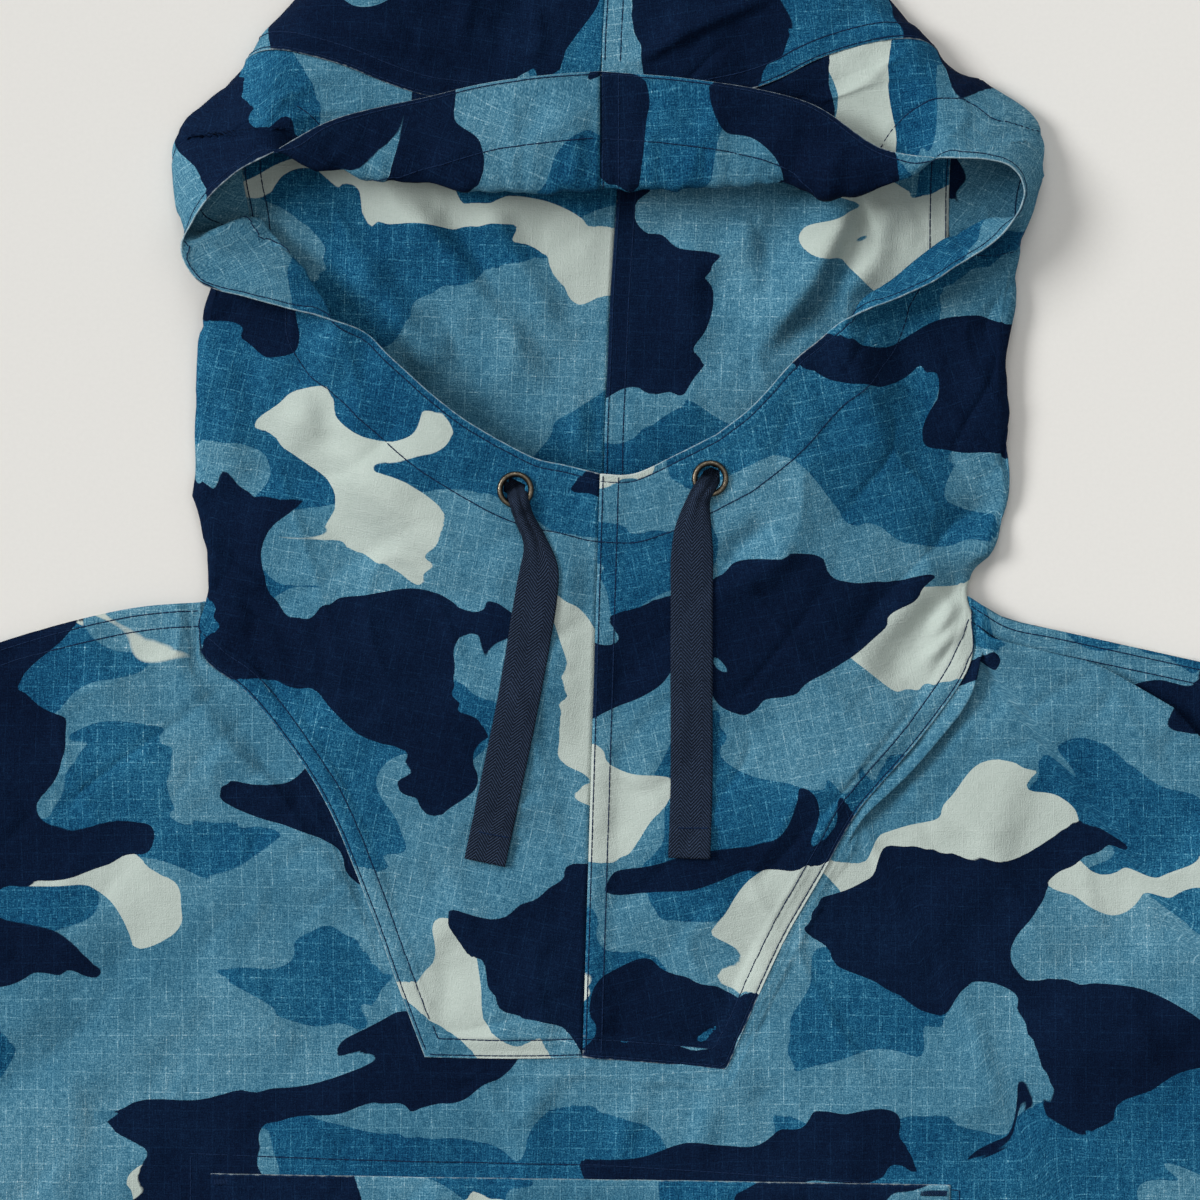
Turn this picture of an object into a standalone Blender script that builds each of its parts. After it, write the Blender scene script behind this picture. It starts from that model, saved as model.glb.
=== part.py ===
"""Pullover anorak with a laced hood, laid flat on its back with the hood opening up.

Metres, +Z up, +Y towards the crown of the hood. Tables are in millimetres, measured from the neck:
x = 0 on the centre front, y = 0 at the neck end of the shoulders, z = 0 on the surface it lies on.
The last step moves everything so that the middle of the outline is at the origin.
"""

import math

import bmesh
import bpy
import numpy as np
from mathutils import Vector
from mathutils.bvhtree import BVHTree

MM = 0.001

# Driving sizes, mm
CLOTH = 1.2  # wall of one layer
SEAM_GAP = 0.4  # between two pieces at a seam
ROUND_GAP = 1.0  # at a seam where it rounds the hood's side, measured at the middle of the wall
FLOOR = CLOTH / 2  # middle of a layer that lies on the surface
HEM_Y = -700.0  # bottom edge
CROWN_Y = 290.0  # top of the hood
CUFF_X = 609.0  # outermost reach of a sleeve
FRONT_LAYER = 2.6  # middle of the front where it lies on the back
HOOD_RISE = 22.0  # how far the neck rises over the flat front
FOLD_RADIUS = 2.2  # where the hood's edge turns over
SIDE_RADIUS = 4.5  # where the hood wraps round its side
EDGE_BAND = 6.0  # finely divided strip along an edge that isn't turned over
SIDE_BAND = 12.0  # finely divided strip along a seam that the side doesn't wrap to
BEND_STEP = 2.6  # between the sampled points on each side of a bend
CREST_STEPS = (0.2, 0.45, 0.7)  # places of the points between the turned-out edge and the side
FRONT_STEPS = (0.1, 0.25, 0.4, 0.55, 0.7, 0.85)  # places of the points between the rim and the inset's seam
PANEL_BULGE = 1.5  # rise of a plain stretch between rim and seam
HEM_DROOP = 3.0  # how much the hem curves up towards the sides
WELT_WIDTH = 266.0
WELT_HEIGHT = 28.0
WELT_TOP_Y = -204.5
WELT_CENTRE_X = -7.0
WELT_TILT = -4.0  # fall of the welt from its left end to its right end
WELT_LIFT = 0.35  # gap between the welt and the front
SLEEVE_EDGE = 0.9  # how far a sleeve's folded side stands over the layer that lies on the surface
EYELET_OUTER = 6.35  # radius
EYELET_HOLE = 4.3  # radius
EYELET_HEIGHT = 1.9
CORD_THICKNESS = 1.4
SHARP_ANGLE = 50.0  # edges bent more than this stay crisp, degrees
MIDDLE_Y = (HEM_Y + CROWN_Y) / 2

DENIM = (0.16, 0.35, 0.52, 1.0)
NAVY = (0.017, 0.03, 0.06, 1.0)
BRASS = (0.16, 0.12, 0.08, 1.0)

# The hood's side panels, from the centre front round the opening's edge to the centre top.
# rim: free edge. fold: where the turned-out edge bends over, or None. side: where the cloth wraps
# under, or None. seam: end at the chest inset's seam or at the coronal seam. A height of None is
# read from front_height.
RIM, FOLD, SIDE, SEAM = 0, 1, 2, 3
LEFT_SIDE_PANEL = [
    ((-0.2, 47, None), None, None, (-6.5, -162.5, None)),
    ((-12, 50, None), None, None, (-23, -163, None)),
    ((-23, 52.5, None), None, None, (-43, -163, None)),
    ((-37, 59.5, None), None, None, (-63, -162.5, None)),
    ((-48.5, 66.5, None), None, None, (-72, -138.5, None)),
    ((-59.5, 75, None), None, None, (-84, -105.5, None)),
    ((-69, 83.5, None), None, None, (-99, -70, None)),
    ((-76.5, 90.5, None), None, None, (-115, -45.5, None)),
    ((-84, 98, None), None, None, (-130.5, -27.5, None)),
    ((-92, 101, 24.5), None, None, (-142.5, -20.5, None)),
    ((-99, 103, 25), (-96.5, 106, 21.5), None, (-143.5, -10, None)),
    ((-107, 105, 25.5), (-100, 111.5, 18), None, (-143.5, 1, None)),
    ((-117, 107.5, 25.5), (-104.5, 118, 15), (-142, 21.5), (-121.5, -2.5, FLOOR)),
    ((-128.5, 110.5, 25), (-108.5, 123.5, 12.5), (-147, 45), (-121.5, 30.5, FLOOR)),
    ((-137, 112.5, 24), (-112, 128, 10), (-146.5, 74), (-122.5, 63, FLOOR)),
    ((-143, 115, 23), (-116, 131.5, 8), (-145, 98), (-123, 88, FLOOR)),
    ((-147, 119.5, 22), (-120, 136, 6.5), (-140, 116), (-123.5, 108, FLOOR)),
    ((-149, 123, 22), (-123.5, 141, 5.5), (-134, 130), (-124.5, 124, FLOOR)),
    ((-150, 127, 22), None, None, (-126, 140, FLOOR)),
    ((-150, 131, 21), None, (-147, 134), (-127, 146, FLOOR)),
    ((-147.5, 135, 20), None, (-152, 138), (-128.5, 151, FLOOR)),
    ((-144, 141, 21), None, (-153.5, 147.5), (-129, 160, FLOOR)),
    ((-140, 146, 23), None, (-154.5, 158.5), (-129, 170.5, FLOOR)),
    ((-135, 151, 24.5), None, (-155, 168), (-128.5, 180.5, FLOOR)),
    ((-129, 155.5, 26), None, (-148.5, 177.5), (-127.5, 189.5, FLOOR)),
    ((-124, 158, 26.5), None, None, (-126.5, 197.5, 7)),
    ((-119, 160.5, 27), None, None, (-117, 199.5, 13)),
    ((-111, 165, 27), (-109, 159, 25), None, (-107, 197.5, 14.5)),
    ((-97, 173, 27), (-96, 156, 22), None, (-92, 193.5, 15)),
    ((-80, 177.5, 26), (-79, 152.5, 20), None, (-81.5, 189, 15)),
    ((-63, 181, 26), (-63, 151, 20), None, (-65, 183, 15.5)),
    ((-43, 186, 26), (-43, 149, 20), None, (-47, 180.5, 16)),
    ((-21.5, 189, 26), (-23.5, 147, 20), None, (-23.5, 178, 16)),
    ((-0.2, 190.5, 26), (-0.2, 148.5, 20), None, (-0.2, 177.5, 16)),
]
RIGHT_SIDE_PANEL = [
    ((0.2, 47, None), None, None, (-6.1, -162.5, None)),
    ((12, 47, None), None, None, (11, -164, None)),
    ((27.5, 54, None), None, None, (29, -165.5, None)),
    ((41.5, 61, None), None, None, (45.5, -167, None)),
    ((52, 69, None), None, None, (54.5, -146, None)),
    ((59.5, 76.5, None), None, None, (66.5, -120, None)),
    ((66, 84, None), None, None, (79, -98, None)),
    ((72, 90, None), None, None, (93.5, -72.5, None)),
    ((78.5, 95, None), None, None, (111.5, -52, None)),
    ((87, 102, 24.5), None, None, (134, -20, None)),
    ((94, 105, 25), (91.5, 108, 21.5), None, (133, -7, None)),
    ((101.5, 108, 25.5), (98, 113, 18.5), None, (132.5, 3, None)),
    ((110, 111.5, 25.5), (105.5, 118.5, 16), (140.5, 18), (119, 2, FLOOR)),
    ((119.5, 115.5, 25.5), (113, 124, 14), (148.5, 38), (120.5, 30.5, FLOOR)),
    ((126.5, 120.5, 25), (119.5, 129, 13), (148, 59.5), (122.5, 59.5, FLOOR)),
    ((133, 124.5, 24), (125, 133, 12), (147, 85), (123.5, 82, FLOOR)),
    ((141.5, 130, 23), (134, 137, 12), (147.5, 108), (124.5, 103, FLOOR)),
    ((146, 134.5, 22.5), (141.5, 139.5, 15), (149, 122), (125, 119, FLOOR)),
    ((149, 139, 22), None, (151, 134), (125.5, 131.5, FLOOR)),
    ((152, 144, 21), None, (154.5, 144), (125.5, 140.5, FLOOR)),
    ((152.5, 149.5, 21), None, (157, 150.5), (125.5, 149.5, FLOOR)),
    ((150, 155.5, 22), None, (159, 158.5), (126, 158.5, FLOOR)),
    ((146, 157.5, 23.5), None, (160, 165.5), (126.5, 167.5, FLOOR)),
    ((141.5, 159, 25), None, (157, 173), (127.5, 177.5, FLOOR)),
    ((135.5, 159.5, 26), None, (146, 182), (125.5, 187, FLOOR)),
    ((129.5, 159.5, 26.5), None, None, (120.5, 201, 7)),
    ((124, 159.7, 27), None, None, (113.5, 203, 13)),
    ((115, 160, 27), (114.5, 154.5, 25), None, (102.5, 202.5, 14.5)),
    ((106, 161.5, 27), (104.5, 150.5, 23), None, (88, 199, 15)),
    ((97, 164, 26.5), (95.5, 149, 21), None, (77.5, 195.5, 15)),
    ((80.5, 177, 26), (80, 149.5, 20), None, (68.5, 190.5, 15.5)),
    ((62, 183, 26), (61, 151, 20), None, (57, 185.5, 16)),
    ((31, 188, 26), (31, 151, 20), None, (31, 180, 16)),
    ((0.2, 190.5, 26), (0.2, 148.5, 20), None, (0.2, 177.5, 16)),
]
FIRST_CORONAL_ROW = 12  # the row of a side panel where its seam to the back panel begins
LAST_CORONAL_ROW = 31
ROUND_ROW = 13  # the back panel's row along the crown's outline

# The hood's back panels. Each row runs from the coronal seam, through two points, to the centre
# seam; its first point is the side panel's own. From the back neck, up the surface, over the crown
# and down to the coronal seam on top.
LEFT_BACK_PANEL = [
    ((-83, -8, FLOOR), (-43, -11.5, FLOOR), (1, -12.6, FLOOR)),
    ((-83, 27, FLOOR), (-43, 25, FLOOR), (1.3, 23, FLOOR)),
    ((-83, 62, FLOOR), (-43, 61, FLOOR), (1.6, 60, FLOOR)),
    ((-83, 92, FLOOR), (-43, 92, FLOOR), (3, 92, FLOOR)),
    ((-83, 110, FLOOR), (-43, 111, FLOOR), (3.8, 112, FLOOR)),
    ((-83, 125, FLOOR), (-43, 127, FLOOR), (4.9, 129, FLOOR)),
    ((-83, 138, FLOOR), (-43, 141, FLOOR), (5.9, 144, FLOOR)),
    ((-83, 148, FLOOR), (-43, 152, FLOOR), (6.6, 156, FLOOR)),
    ((-83, 160, FLOOR), (-43, 167, FLOOR), (7, 172, FLOOR)),
    ((-84, 173, FLOOR), (-44, 184, FLOOR), (7, 191, FLOOR)),
    ((-86, 189, FLOOR), (-45, 206, FLOOR), (6.5, 214, FLOOR)),
    ((-91, 207, FLOOR), (-49, 233, FLOOR), (6, 245, FLOOR)),
    ((-101, 221, FLOOR), (-57, 262, FLOOR), (5, 279, FLOOR)),
    ((-107, 218, 7.2), (-61, 266, 7.5), (4.5, CROWN_Y - FLOOR, 7.5)),
    ((-103, 214, 13), (-58, 259, 14), (4, 280, 14)),
    ((-88, 215, 15), (-50, 245, 16), (3, 262, 16)),
    ((-74, 208, 16), (-40, 225, 16), (2.4, 238, 16)),
    ((-64, 202, 16), (-33, 212, 16), (1.8, 219, 16)),
    ((-50, 194, 16), (-26, 200, 16), (1, 204, 16)),
    ((-31, 186, 16), (-17, 188.5, 16), (0.2, 191, 16)),
]
RIGHT_BACK_PANEL = [
    ((83, -8, FLOOR), (43, -11.5, FLOOR), (1, -12.6, FLOOR)),
    ((83, 27, FLOOR), (43, 25, FLOOR), (1.3, 23, FLOOR)),
    ((83, 60, FLOOR), (43, 60, FLOOR), (1.6, 60, FLOOR)),
    ((83, 89, FLOOR), (43, 91, FLOOR), (3, 92, FLOOR)),
    ((83, 107, FLOOR), (43, 110, FLOOR), (3.8, 112, FLOOR)),
    ((83, 122, FLOOR), (43, 126, FLOOR), (4.9, 129, FLOOR)),
    ((83, 134, FLOOR), (43, 140, FLOOR), (5.9, 144, FLOOR)),
    ((83, 145, FLOOR), (43, 151, FLOOR), (6.6, 156, FLOOR)),
    ((83, 157, FLOOR), (43, 166, FLOOR), (7, 172, FLOOR)),
    ((83, 171, FLOOR), (44, 183, FLOOR), (7, 191, FLOOR)),
    ((84, 187, FLOOR), (45, 205, FLOOR), (6.5, 214, FLOOR)),
    ((87, 205, FLOOR), (49, 232, FLOOR), (6, 245, FLOOR)),
    ((95, 223, FLOOR), (57, 262, FLOOR), (5, 279, FLOOR)),
    ((103, 219, 7.2), (62, 266, 7.5), (4.5, CROWN_Y - FLOOR, 7.5)),
    ((98, 217, 13), (59, 259, 14), (4, 280, 14)),
    ((86, 218, 15), (50, 245, 16), (3, 262, 16)),
    ((72, 212, 16), (40, 226, 16), (2.4, 238, 16)),
    ((61, 205, 16), (33, 213, 16), (1.8, 219, 16)),
    ((51, 197, 16), (26, 201, 16), (1, 204, 16)),
    ((38, 189.5, 16), (19, 190.5, 16), (0.6, 191, 16)),
]

# The body's outer edge for each row of a front half, from the hem's middle to the end of the shoulder.
# The inner end of a row is the seam of the side panel's row of that number.
LEFT_BODY_EDGE = [
    (-6, HEM_Y),
    (-40, HEM_Y),
    (-100, HEM_Y),
    (-170, HEM_Y),
    (-245, -699.5),
    (-311, -697),
    (-311, -585),
    (-310, -470),
    (-310, -360),
    (-309, -262),
    (-285.5, -146.5),
    (-262, -31),
]
RIGHT_BODY_EDGE = [(-x, y) for x, y in LEFT_BODY_EDGE]
LEFT_SHOULDER = [(-163.5, -0.5), (-180, -3.5), (-216, -13.5)]
RIGHT_SHOULDER = [(146, -5), (164, -9), (216, -20.5)]

# Soft ridges of the front: from x, y to x, y, height, width
FRONT_RIDGES = [
    (141, -15, 212, -46, 4.5, 9.0),
    (141, -34, 104, -78, 2.5, 7.0),
    (-148, -31, -98, -95, 1.5, 6.0),
    (-262, -120, -190, -160, 2.0, 14.0),
    (262, -120, 185, -165, 2.0, 14.0),
    (-150, -330, -60, -420, 1.5, 16.0),
    (120, -400, 190, -520, 1.5, 16.0),
]

# Sleeves: rings from the armhole to the cuff. outer and inner are the two folded sides, loft is how
# far the upper layer stands over the lower.
SLEEVE_RINGS = [
    ((262.5, -31), (309.5, -262), 2.6),
    ((292, -54), (315.5, -279), 4.0),
    ((337, -92), (327, -318), 4.2),
    ((418, -185), (358, -398), 4.2),
    ((490, -297), (402, -474), 4.0),
    ((552, -404), (450, -541), 3.6),
    ((594, -490), (493, -580), 3.2),
    ((CUFF_X - FLOOR - 1.2, -519), (506, -592), 3.0),
]

# Free ends of the drawcord, from eyelet to end: x, y, width. The tape is 15 mm wide and comes folded
# out of its eyelet.
LEFT_CORD = [
    (-30.2, 41.2, 6.0),
    (-27.4, 31.5, 6.4),
    (-23.5, 23, 8.0),
    (-21.8, 13, 13.6),
    (-22.6, 5, 15.0),
    (-28.4, -30, 15.0),
    (-35.3, -64, 15.0),
    (-41.4, -92.5, 15.0),
]
RIGHT_CORD = [
    (39.4, 45.2, 6.0),
    (35.6, 39, 7.0),
    (33.4, 28, 12.6),
    (32.9, 18, 15.0),
    (32.8, 5, 15.0),
    (32.8, -30, 15.0),
    (32.8, -64, 15.0),
    (32.0, -90.8, 15.0),
]


def smooth_step(value):
    """0 below 0, 1 above 1, with a soft rise between."""
    clamped = min(max(value, 0.0), 1.0)
    return clamped * clamped * (3 - 2 * clamped)


def front_height(x, y):
    """Height of the middle of the front layer: flat on the back, rising to the hood's edge."""
    rise = HOOD_RISE * smooth_step((y + 200) / 310)
    across = 1 - 0.8 * smooth_step((abs(x) - 50) / 110)
    fade = 1 - smooth_step((abs(x) - 160) / 90)
    return FRONT_LAYER + rise * across * fade + sum(ridge_height(x, y, *ridge) for ridge in FRONT_RIDGES)


def ridge_height(x, y, x0, y0, x1, y1, height, width):
    """Height that one soft ridge adds at a point."""
    along_x, along_y = x1 - x0, y1 - y0
    part = ((x - x0) * along_x + (y - y0) * along_y) / (along_x ** 2 + along_y ** 2)
    part = min(max(part, 0.0), 1.0)
    away = math.hypot(x - x0 - part * along_x, y - y0 - part * along_y)
    return height * math.exp(-(away / width) ** 2)


def at_height(point):
    """The point with a height, read from front_height where the table leaves it out."""
    x, y, z = point
    return Vector((x, y, front_height(x, y) if z is None else z))


def smooth_curve(points, per_span=14):
    """Centripetal Catmull-Rom curve through the points, as a dense list."""
    points = [Vector(p) for p in points]
    ends = [2 * points[0] - points[1]] + points + [2 * points[-1] - points[-2]]
    found = []
    for before, start, end, after in zip(ends, ends[1:], ends[2:], ends[3:]):
        knots = [0.0]
        for a, b in ((before, start), (start, end), (end, after)):
            knots.append(knots[-1] + max((b - a).length, 1e-6) ** 0.5)
        for step in range(per_span):
            t = knots[1] + (knots[2] - knots[1]) * step / per_span
            found.append(catmull_rom(t, knots, (before, start, end, after)))
    return found + [points[-1]]


def catmull_rom(t, knots, points):
    """One point of a centripetal Catmull-Rom span, by repeated linear steps."""

    def between(start, end, low, high):
        part = (t - low) / (high - low)
        return start * (1 - part) + end * part

    first = [between(points[i], points[i + 1], knots[i], knots[i + 1]) for i in range(3)]
    second = [between(first[i], first[i + 1], knots[i], knots[i + 2]) for i in range(2)]
    return between(second[0], second[1], knots[1], knots[2])


def lengths_along(points):
    """Distance of each point from the first, along the line."""
    found = [0.0]
    for a, b in zip(points, points[1:]):
        found.append(found[-1] + (b - a).length)
    return found


def points_at(points, places):
    """Points of a dense line at these distances along it."""
    along = lengths_along(points)
    flat = np.array([tuple(p) for p in points])
    return [Vector([np.interp(place, along, flat[:, axis]) for axis in range(3)]) for place in places]


def side_panel_row(row):
    """(dense line, distance of the fold, distance of the side) of a side panel's row."""
    rim, seam = at_height(row[RIM]), at_height(row[SEAM])
    controls = [rim]
    fold = row[FOLD]
    if fold:
        x, y, z = fold
        inward = Vector((x - rim.x, y - rim.y, 0)).normalized()
        centre = Vector((x, y, z)) - inward * FOLD_RADIUS
        controls.append(centre + Vector((0, 0, FOLD_RADIUS)))
        controls.append(centre + inward * FOLD_RADIUS)
        controls.append(centre - Vector((0, 0, FOLD_RADIUS)))
    side = row[SIDE]
    if side:
        foot = Vector((side[0], side[1], FLOOR + SIDE_RADIUS))
        inward = Vector((seam.x - foot.x, seam.y - foot.y, 0)).normalized()
        last = controls[-1]
        if fold:
            for part in CREST_STEPS:
                x, y = last.x + (foot.x - last.x) * part, last.y + (foot.y - last.y) * part
                controls.append(Vector((x, y, min(front_height(x, y), last.z + 3))))
            near = foot + inward * 0.55 * SIDE_RADIUS
            controls.append(Vector((near.x, near.y, 0.75 * front_height(near.x, near.y) + 1.5)))
        controls.append(foot)
        controls.append(foot + inward * SIDE_RADIUS * 1.2 - Vector((0, 0, SIDE_RADIUS)))
    elif row[SEAM][2] is None:
        start = controls[-1]
        for part in FRONT_STEPS:
            x, y = start.x + (seam.x - start.x) * part, start.y + (seam.y - start.y) * part
            low = front_height(x, y)
            lift = (start.z - front_height(start.x, start.y)) * (1 - part) ** 2
            controls.append(Vector((x, y, low + lift)))
    elif fold:
        start = controls[-1]
        controls.append(start.lerp(seam, 0.5) - Vector((0, 0, 1.0)))
    else:
        controls.append(rim.lerp(seam, 0.5) + Vector((0, 0, PANEL_BULGE)))
    controls.append(seam)
    line = [Vector((p.x, p.y, max(p.z, FLOOR))) for p in smooth_curve(controls)]
    total = lengths_along(line)[-1]
    fold_at = EDGE_BAND
    if fold:
        fold_at = nearest_distance(line, controls[2])
    side_at = nearest_distance(line, controls[-3]) if side else total - SIDE_BAND
    return line, fold_at, side_at


def nearest_distance(line, point):
    """Distance along the line of its point nearest to this one."""
    along = lengths_along(line)
    return along[min(range(len(line)), key=lambda i: (line[i] - point).length)]


def trimmed(line, start, end):
    """The line without its first and last lengths."""
    along = lengths_along(line)
    inside = [s for s in along if start < s < along[-1] - end]
    return points_at(line, [start] + inside + [along[-1] - end])


def side_panel_grid(table):
    """Grid of a side panel: a row of points for each row of the table."""
    grid = []
    for row in table:
        line, fold_at, side_at = side_panel_row(row)
        total = lengths_along(line)[-1] - SEAM_GAP / 2
        side_at = min(side_at, total - 2.5 * BEND_STEP)
        places = list(np.linspace(0, fold_at - BEND_STEP, 4)) + [fold_at]
        places += list(np.linspace(fold_at + BEND_STEP, side_at - BEND_STEP, 8)) + [side_at]
        places += list(np.linspace(side_at + BEND_STEP, total, 4))
        grid.append(points_at(line, places))
    return grid


def back_panel_grid(table, side_table, columns=9):
    """Grid of a back panel, whose rows start on the side panel's seam."""
    grid = []
    for index, row in enumerate(table):
        start = at_height(side_table[FIRST_CORONAL_ROW + index][SEAM])
        line = smooth_curve([start] + [Vector(p) for p in row])
        gap = ROUND_GAP if abs(index - ROUND_ROW) <= 2 else SEAM_GAP
        line = trimmed(line, gap / 2, SEAM_GAP / 2)
        grid.append(points_at(line, np.linspace(0, lengths_along(line)[-1], columns)))
    last = [at_height(row[SEAM]) for row in side_table[LAST_CORONAL_ROW:]]
    line = [p + Vector((0, SEAM_GAP, 0)) for p in smooth_curve(last)]
    line = trimmed(line, SEAM_GAP / 2, SEAM_GAP / 2)
    grid.append(points_at(line, np.linspace(0, lengths_along(line)[-1], columns)))
    return grid


def body_front_grid(columns=9):
    """Grid of the front panel: rows fan out from the notch to the outer edge."""
    grid = []
    left = list(zip(LEFT_SIDE_PANEL[:12], LEFT_BODY_EDGE))
    right = list(zip(RIGHT_SIDE_PANEL[:12], RIGHT_BODY_EDGE))
    for index, (panel_row, edge) in enumerate(list(reversed(left)) + right[1:]):
        inner = Vector(panel_row[SEAM][:2])
        outer = Vector(edge)
        route = [inner, outer]
        if index == 0:
            route = [inner] + [Vector(p) for p in LEFT_SHOULDER] + [outer]
        if index == len(left) + len(right) - 2:
            route = [inner] + [Vector(p) for p in RIGHT_SHOULDER] + [outer]
        line = smooth_curve([p.to_3d() for p in route])
        total = lengths_along(line)[-1]
        fractions = np.linspace(0, 1, columns) ** 1.5
        points = points_at(line, SEAM_GAP + fractions * (total - SEAM_GAP))
        grid.append([Vector((p.x, p.y, front_height(p.x, p.y))) for p in points])
    return grid


def coons(top, bottom, left, right):
    """Grid between four edges given as lists of points that share their corners."""
    top, bottom, left, right = [[Vector((*p, 0)) for p in edge] for edge in (top, bottom, left, right)]
    grid = []
    for j, (start, end) in enumerate(zip(left, right)):
        v = j / (len(left) - 1)
        row = []
        for i, (high, low) in enumerate(zip(top, bottom)):
            u = i / (len(top) - 1)
            corners = (top[0] * (1 - u) + top[-1] * u) * (1 - v)
            corners += (bottom[0] * (1 - u) + bottom[-1] * u) * v
            row.append(high * (1 - v) + low * v + start * (1 - u) + end * u - corners)
        grid.append(row)
    return grid


def body_back_grid():
    """Grid of the back panel, which lies flat on the surface."""
    neck = [LEFT_SIDE_PANEL[11][SEAM][:2], LEFT_SIDE_PANEL[12][SEAM][:2]]
    neck += [LEFT_BACK_PANEL[0][0][:2], LEFT_BACK_PANEL[0][1][:2], (1, -12.6)]
    neck += [RIGHT_BACK_PANEL[0][1][:2], RIGHT_BACK_PANEL[0][0][:2]]
    neck += [RIGHT_SIDE_PANEL[12][SEAM][:2], RIGHT_SIDE_PANEL[11][SEAM][:2]]
    neck = [(x, y - 3 * SEAM_GAP) for x, y in neck]
    top = [LEFT_BODY_EDGE[-1]] + LEFT_SHOULDER[::-1] + neck + RIGHT_SHOULDER + [RIGHT_BODY_EDGE[-1]]
    left = LEFT_BODY_EDGE[:4:-1]
    right = RIGHT_BODY_EDGE[:4:-1]
    side = left[-1][0]
    bottom = [(x, HEM_Y + HEM_DROOP * abs(x / side) ** 3) for x in np.linspace(side, -side, len(top))]
    grid = coons(top, bottom, left, right)
    for row in grid:
        for point in row:
            point.z = FLOOR
    return grid


def sleeve_grid(sign, points_round=20):
    """Rings of a flattened sleeve, from armhole to cuff."""
    grid = []
    for outer, inner, loft in SLEEVE_RINGS:
        start, end = Vector((sign * outer[0], outer[1])), Vector((sign * inner[0], inner[1]))
        middle, half = (start + end) / 2, (start - end) / 2
        ring = []
        for step in range(points_round):
            angle = 2 * math.pi * step / points_round
            across = math.copysign(abs(math.cos(angle)) ** 0.7, math.cos(angle))
            place = middle + half * across
            high = math.sin(angle) > 1e-6
            bulge = abs(math.sin(angle)) ** 0.6
            top = FLOOR + SLEEVE_EDGE + (loft - SLEEVE_EDGE) * bulge
            low = FLOOR + SLEEVE_EDGE * (1 - min(1, 3 * abs(math.sin(angle))))
            ring.append(Vector((place.x, place.y, top if high else low)))
        grid.append(ring)
    return grid


def material(name, colour, roughness, metallic=0.0):
    """Principled material with one colour."""
    made = bpy.data.materials.new(name)
    made.use_nodes = True
    shader = made.node_tree.nodes["Principled BSDF"]
    shader.inputs["Base Color"].default_value = colour
    shader.inputs["Roughness"].default_value = roughness
    shader.inputs["Metallic"].default_value = metallic
    return made


def placed(point):
    """Garment millimetres to scene metres."""
    return Vector((point.x, point.y - MIDDLE_Y, point.z)) * MM


def new_object(name, mesh, finish, parent):
    """A smooth-shaded object of the garment."""
    made = bpy.data.objects.new(name, mesh)
    made.data.materials.append(finish)
    made.data.shade_smooth()
    made.data.set_sharp_from_angle(angle=math.radians(SHARP_ANGLE))
    bpy.context.scene.collection.objects.link(made)
    made.parent = parent
    return made


def cloth_panel(name, grid, finish, parent, ring=False):
    """A wall of cloth through a grid of points, half its thickness to each side."""
    shape = bmesh.new()
    verts = [[shape.verts.new(placed(p)) for p in row] for row in grid]
    columns = len(verts[0])
    for low, high in zip(verts, verts[1:]):
        for i in range(columns if ring else columns - 1):
            j = (i + 1) % columns
            shape.faces.new((low[i], low[j], high[j], high[i]))
    mesh = bpy.data.meshes.new(name)
    shape.to_mesh(mesh)
    shape.free()
    made = new_object(name, mesh, finish, parent)
    wall = made.modifiers.new("wall", "SOLIDIFY")
    wall.thickness = CLOTH * MM
    wall.offset = 0.0
    return made


def surface_finder(*panels):
    """A function that gives the height of the panels' upper surface, in garment millimetres."""
    bpy.context.view_layer.update()
    graph = bpy.context.evaluated_depsgraph_get()
    trees = [BVHTree.FromObject(panel, graph) for panel in panels]

    def height(x, y):
        start = placed(Vector((x, y, 200)))
        hits = [tree.ray_cast(start, Vector((0, 0, -1)))[0] for tree in trees]
        return max((hit.z for hit in hits if hit), default=0.0) / MM

    return height


def pocket_welt(finish, parent):
    """Welt of the pocket opening, laid on the front."""
    half = WELT_WIDTH / 2
    grid = []
    for part in np.linspace(0, 1, 13):
        x = WELT_CENTRE_X - half + WELT_WIDTH * part
        column = []
        for down in (0, WELT_HEIGHT / 2, WELT_HEIGHT):
            y = WELT_TOP_Y + WELT_TILT * part - down
            column.append(Vector((x, y, front_height(x, y) + CLOTH + WELT_LIFT)))
        grid.append(column)
    return cloth_panel("pocket_welt", grid, finish, parent)


def eyelet(name, x, y, height, finish, parent):
    """A rolled brass ring turned about an upright axis, lying on the hood's cloth."""
    outline = [
        (EYELET_HOLE, 0.0),
        (EYELET_HOLE, EYELET_HEIGHT * 0.6),
        (EYELET_HOLE + 0.35, EYELET_HEIGHT * 0.92),
        ((EYELET_HOLE + EYELET_OUTER) / 2, EYELET_HEIGHT),
        (EYELET_OUTER - 0.3, EYELET_HEIGHT * 0.72),
        (EYELET_OUTER, EYELET_HEIGHT * 0.25),
        (EYELET_OUTER, 0.0),
    ]
    shape = bmesh.new()
    steps = 24
    rings = []
    for step in range(steps):
        angle = 2 * math.pi * step / steps
        out = Vector((math.cos(angle), math.sin(angle), 0))
        rings.append([shape.verts.new((out * r + Vector((0, 0, z))) * MM) for r, z in outline])
    for low, high in zip(rings, rings[1:] + rings[:1]):
        for i in range(len(outline)):
            j = (i + 1) % len(outline)
            shape.faces.new((low[i], low[j], high[j], high[i]))
    bmesh.ops.recalc_face_normals(shape, faces=shape.faces)
    mesh = bpy.data.meshes.new(name)
    shape.to_mesh(mesh)
    shape.free()
    made = new_object(name, mesh, finish, parent)
    reach = EYELET_OUTER + 0.3
    around = [(x + reach * math.cos(a), y + reach * math.sin(a)) for a in np.linspace(0, 2 * math.pi, 17)]
    seat = max(height(*p) for p in around)
    made.location = placed(Vector((x, y, seat + SEAM_GAP)))
    return made


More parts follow.
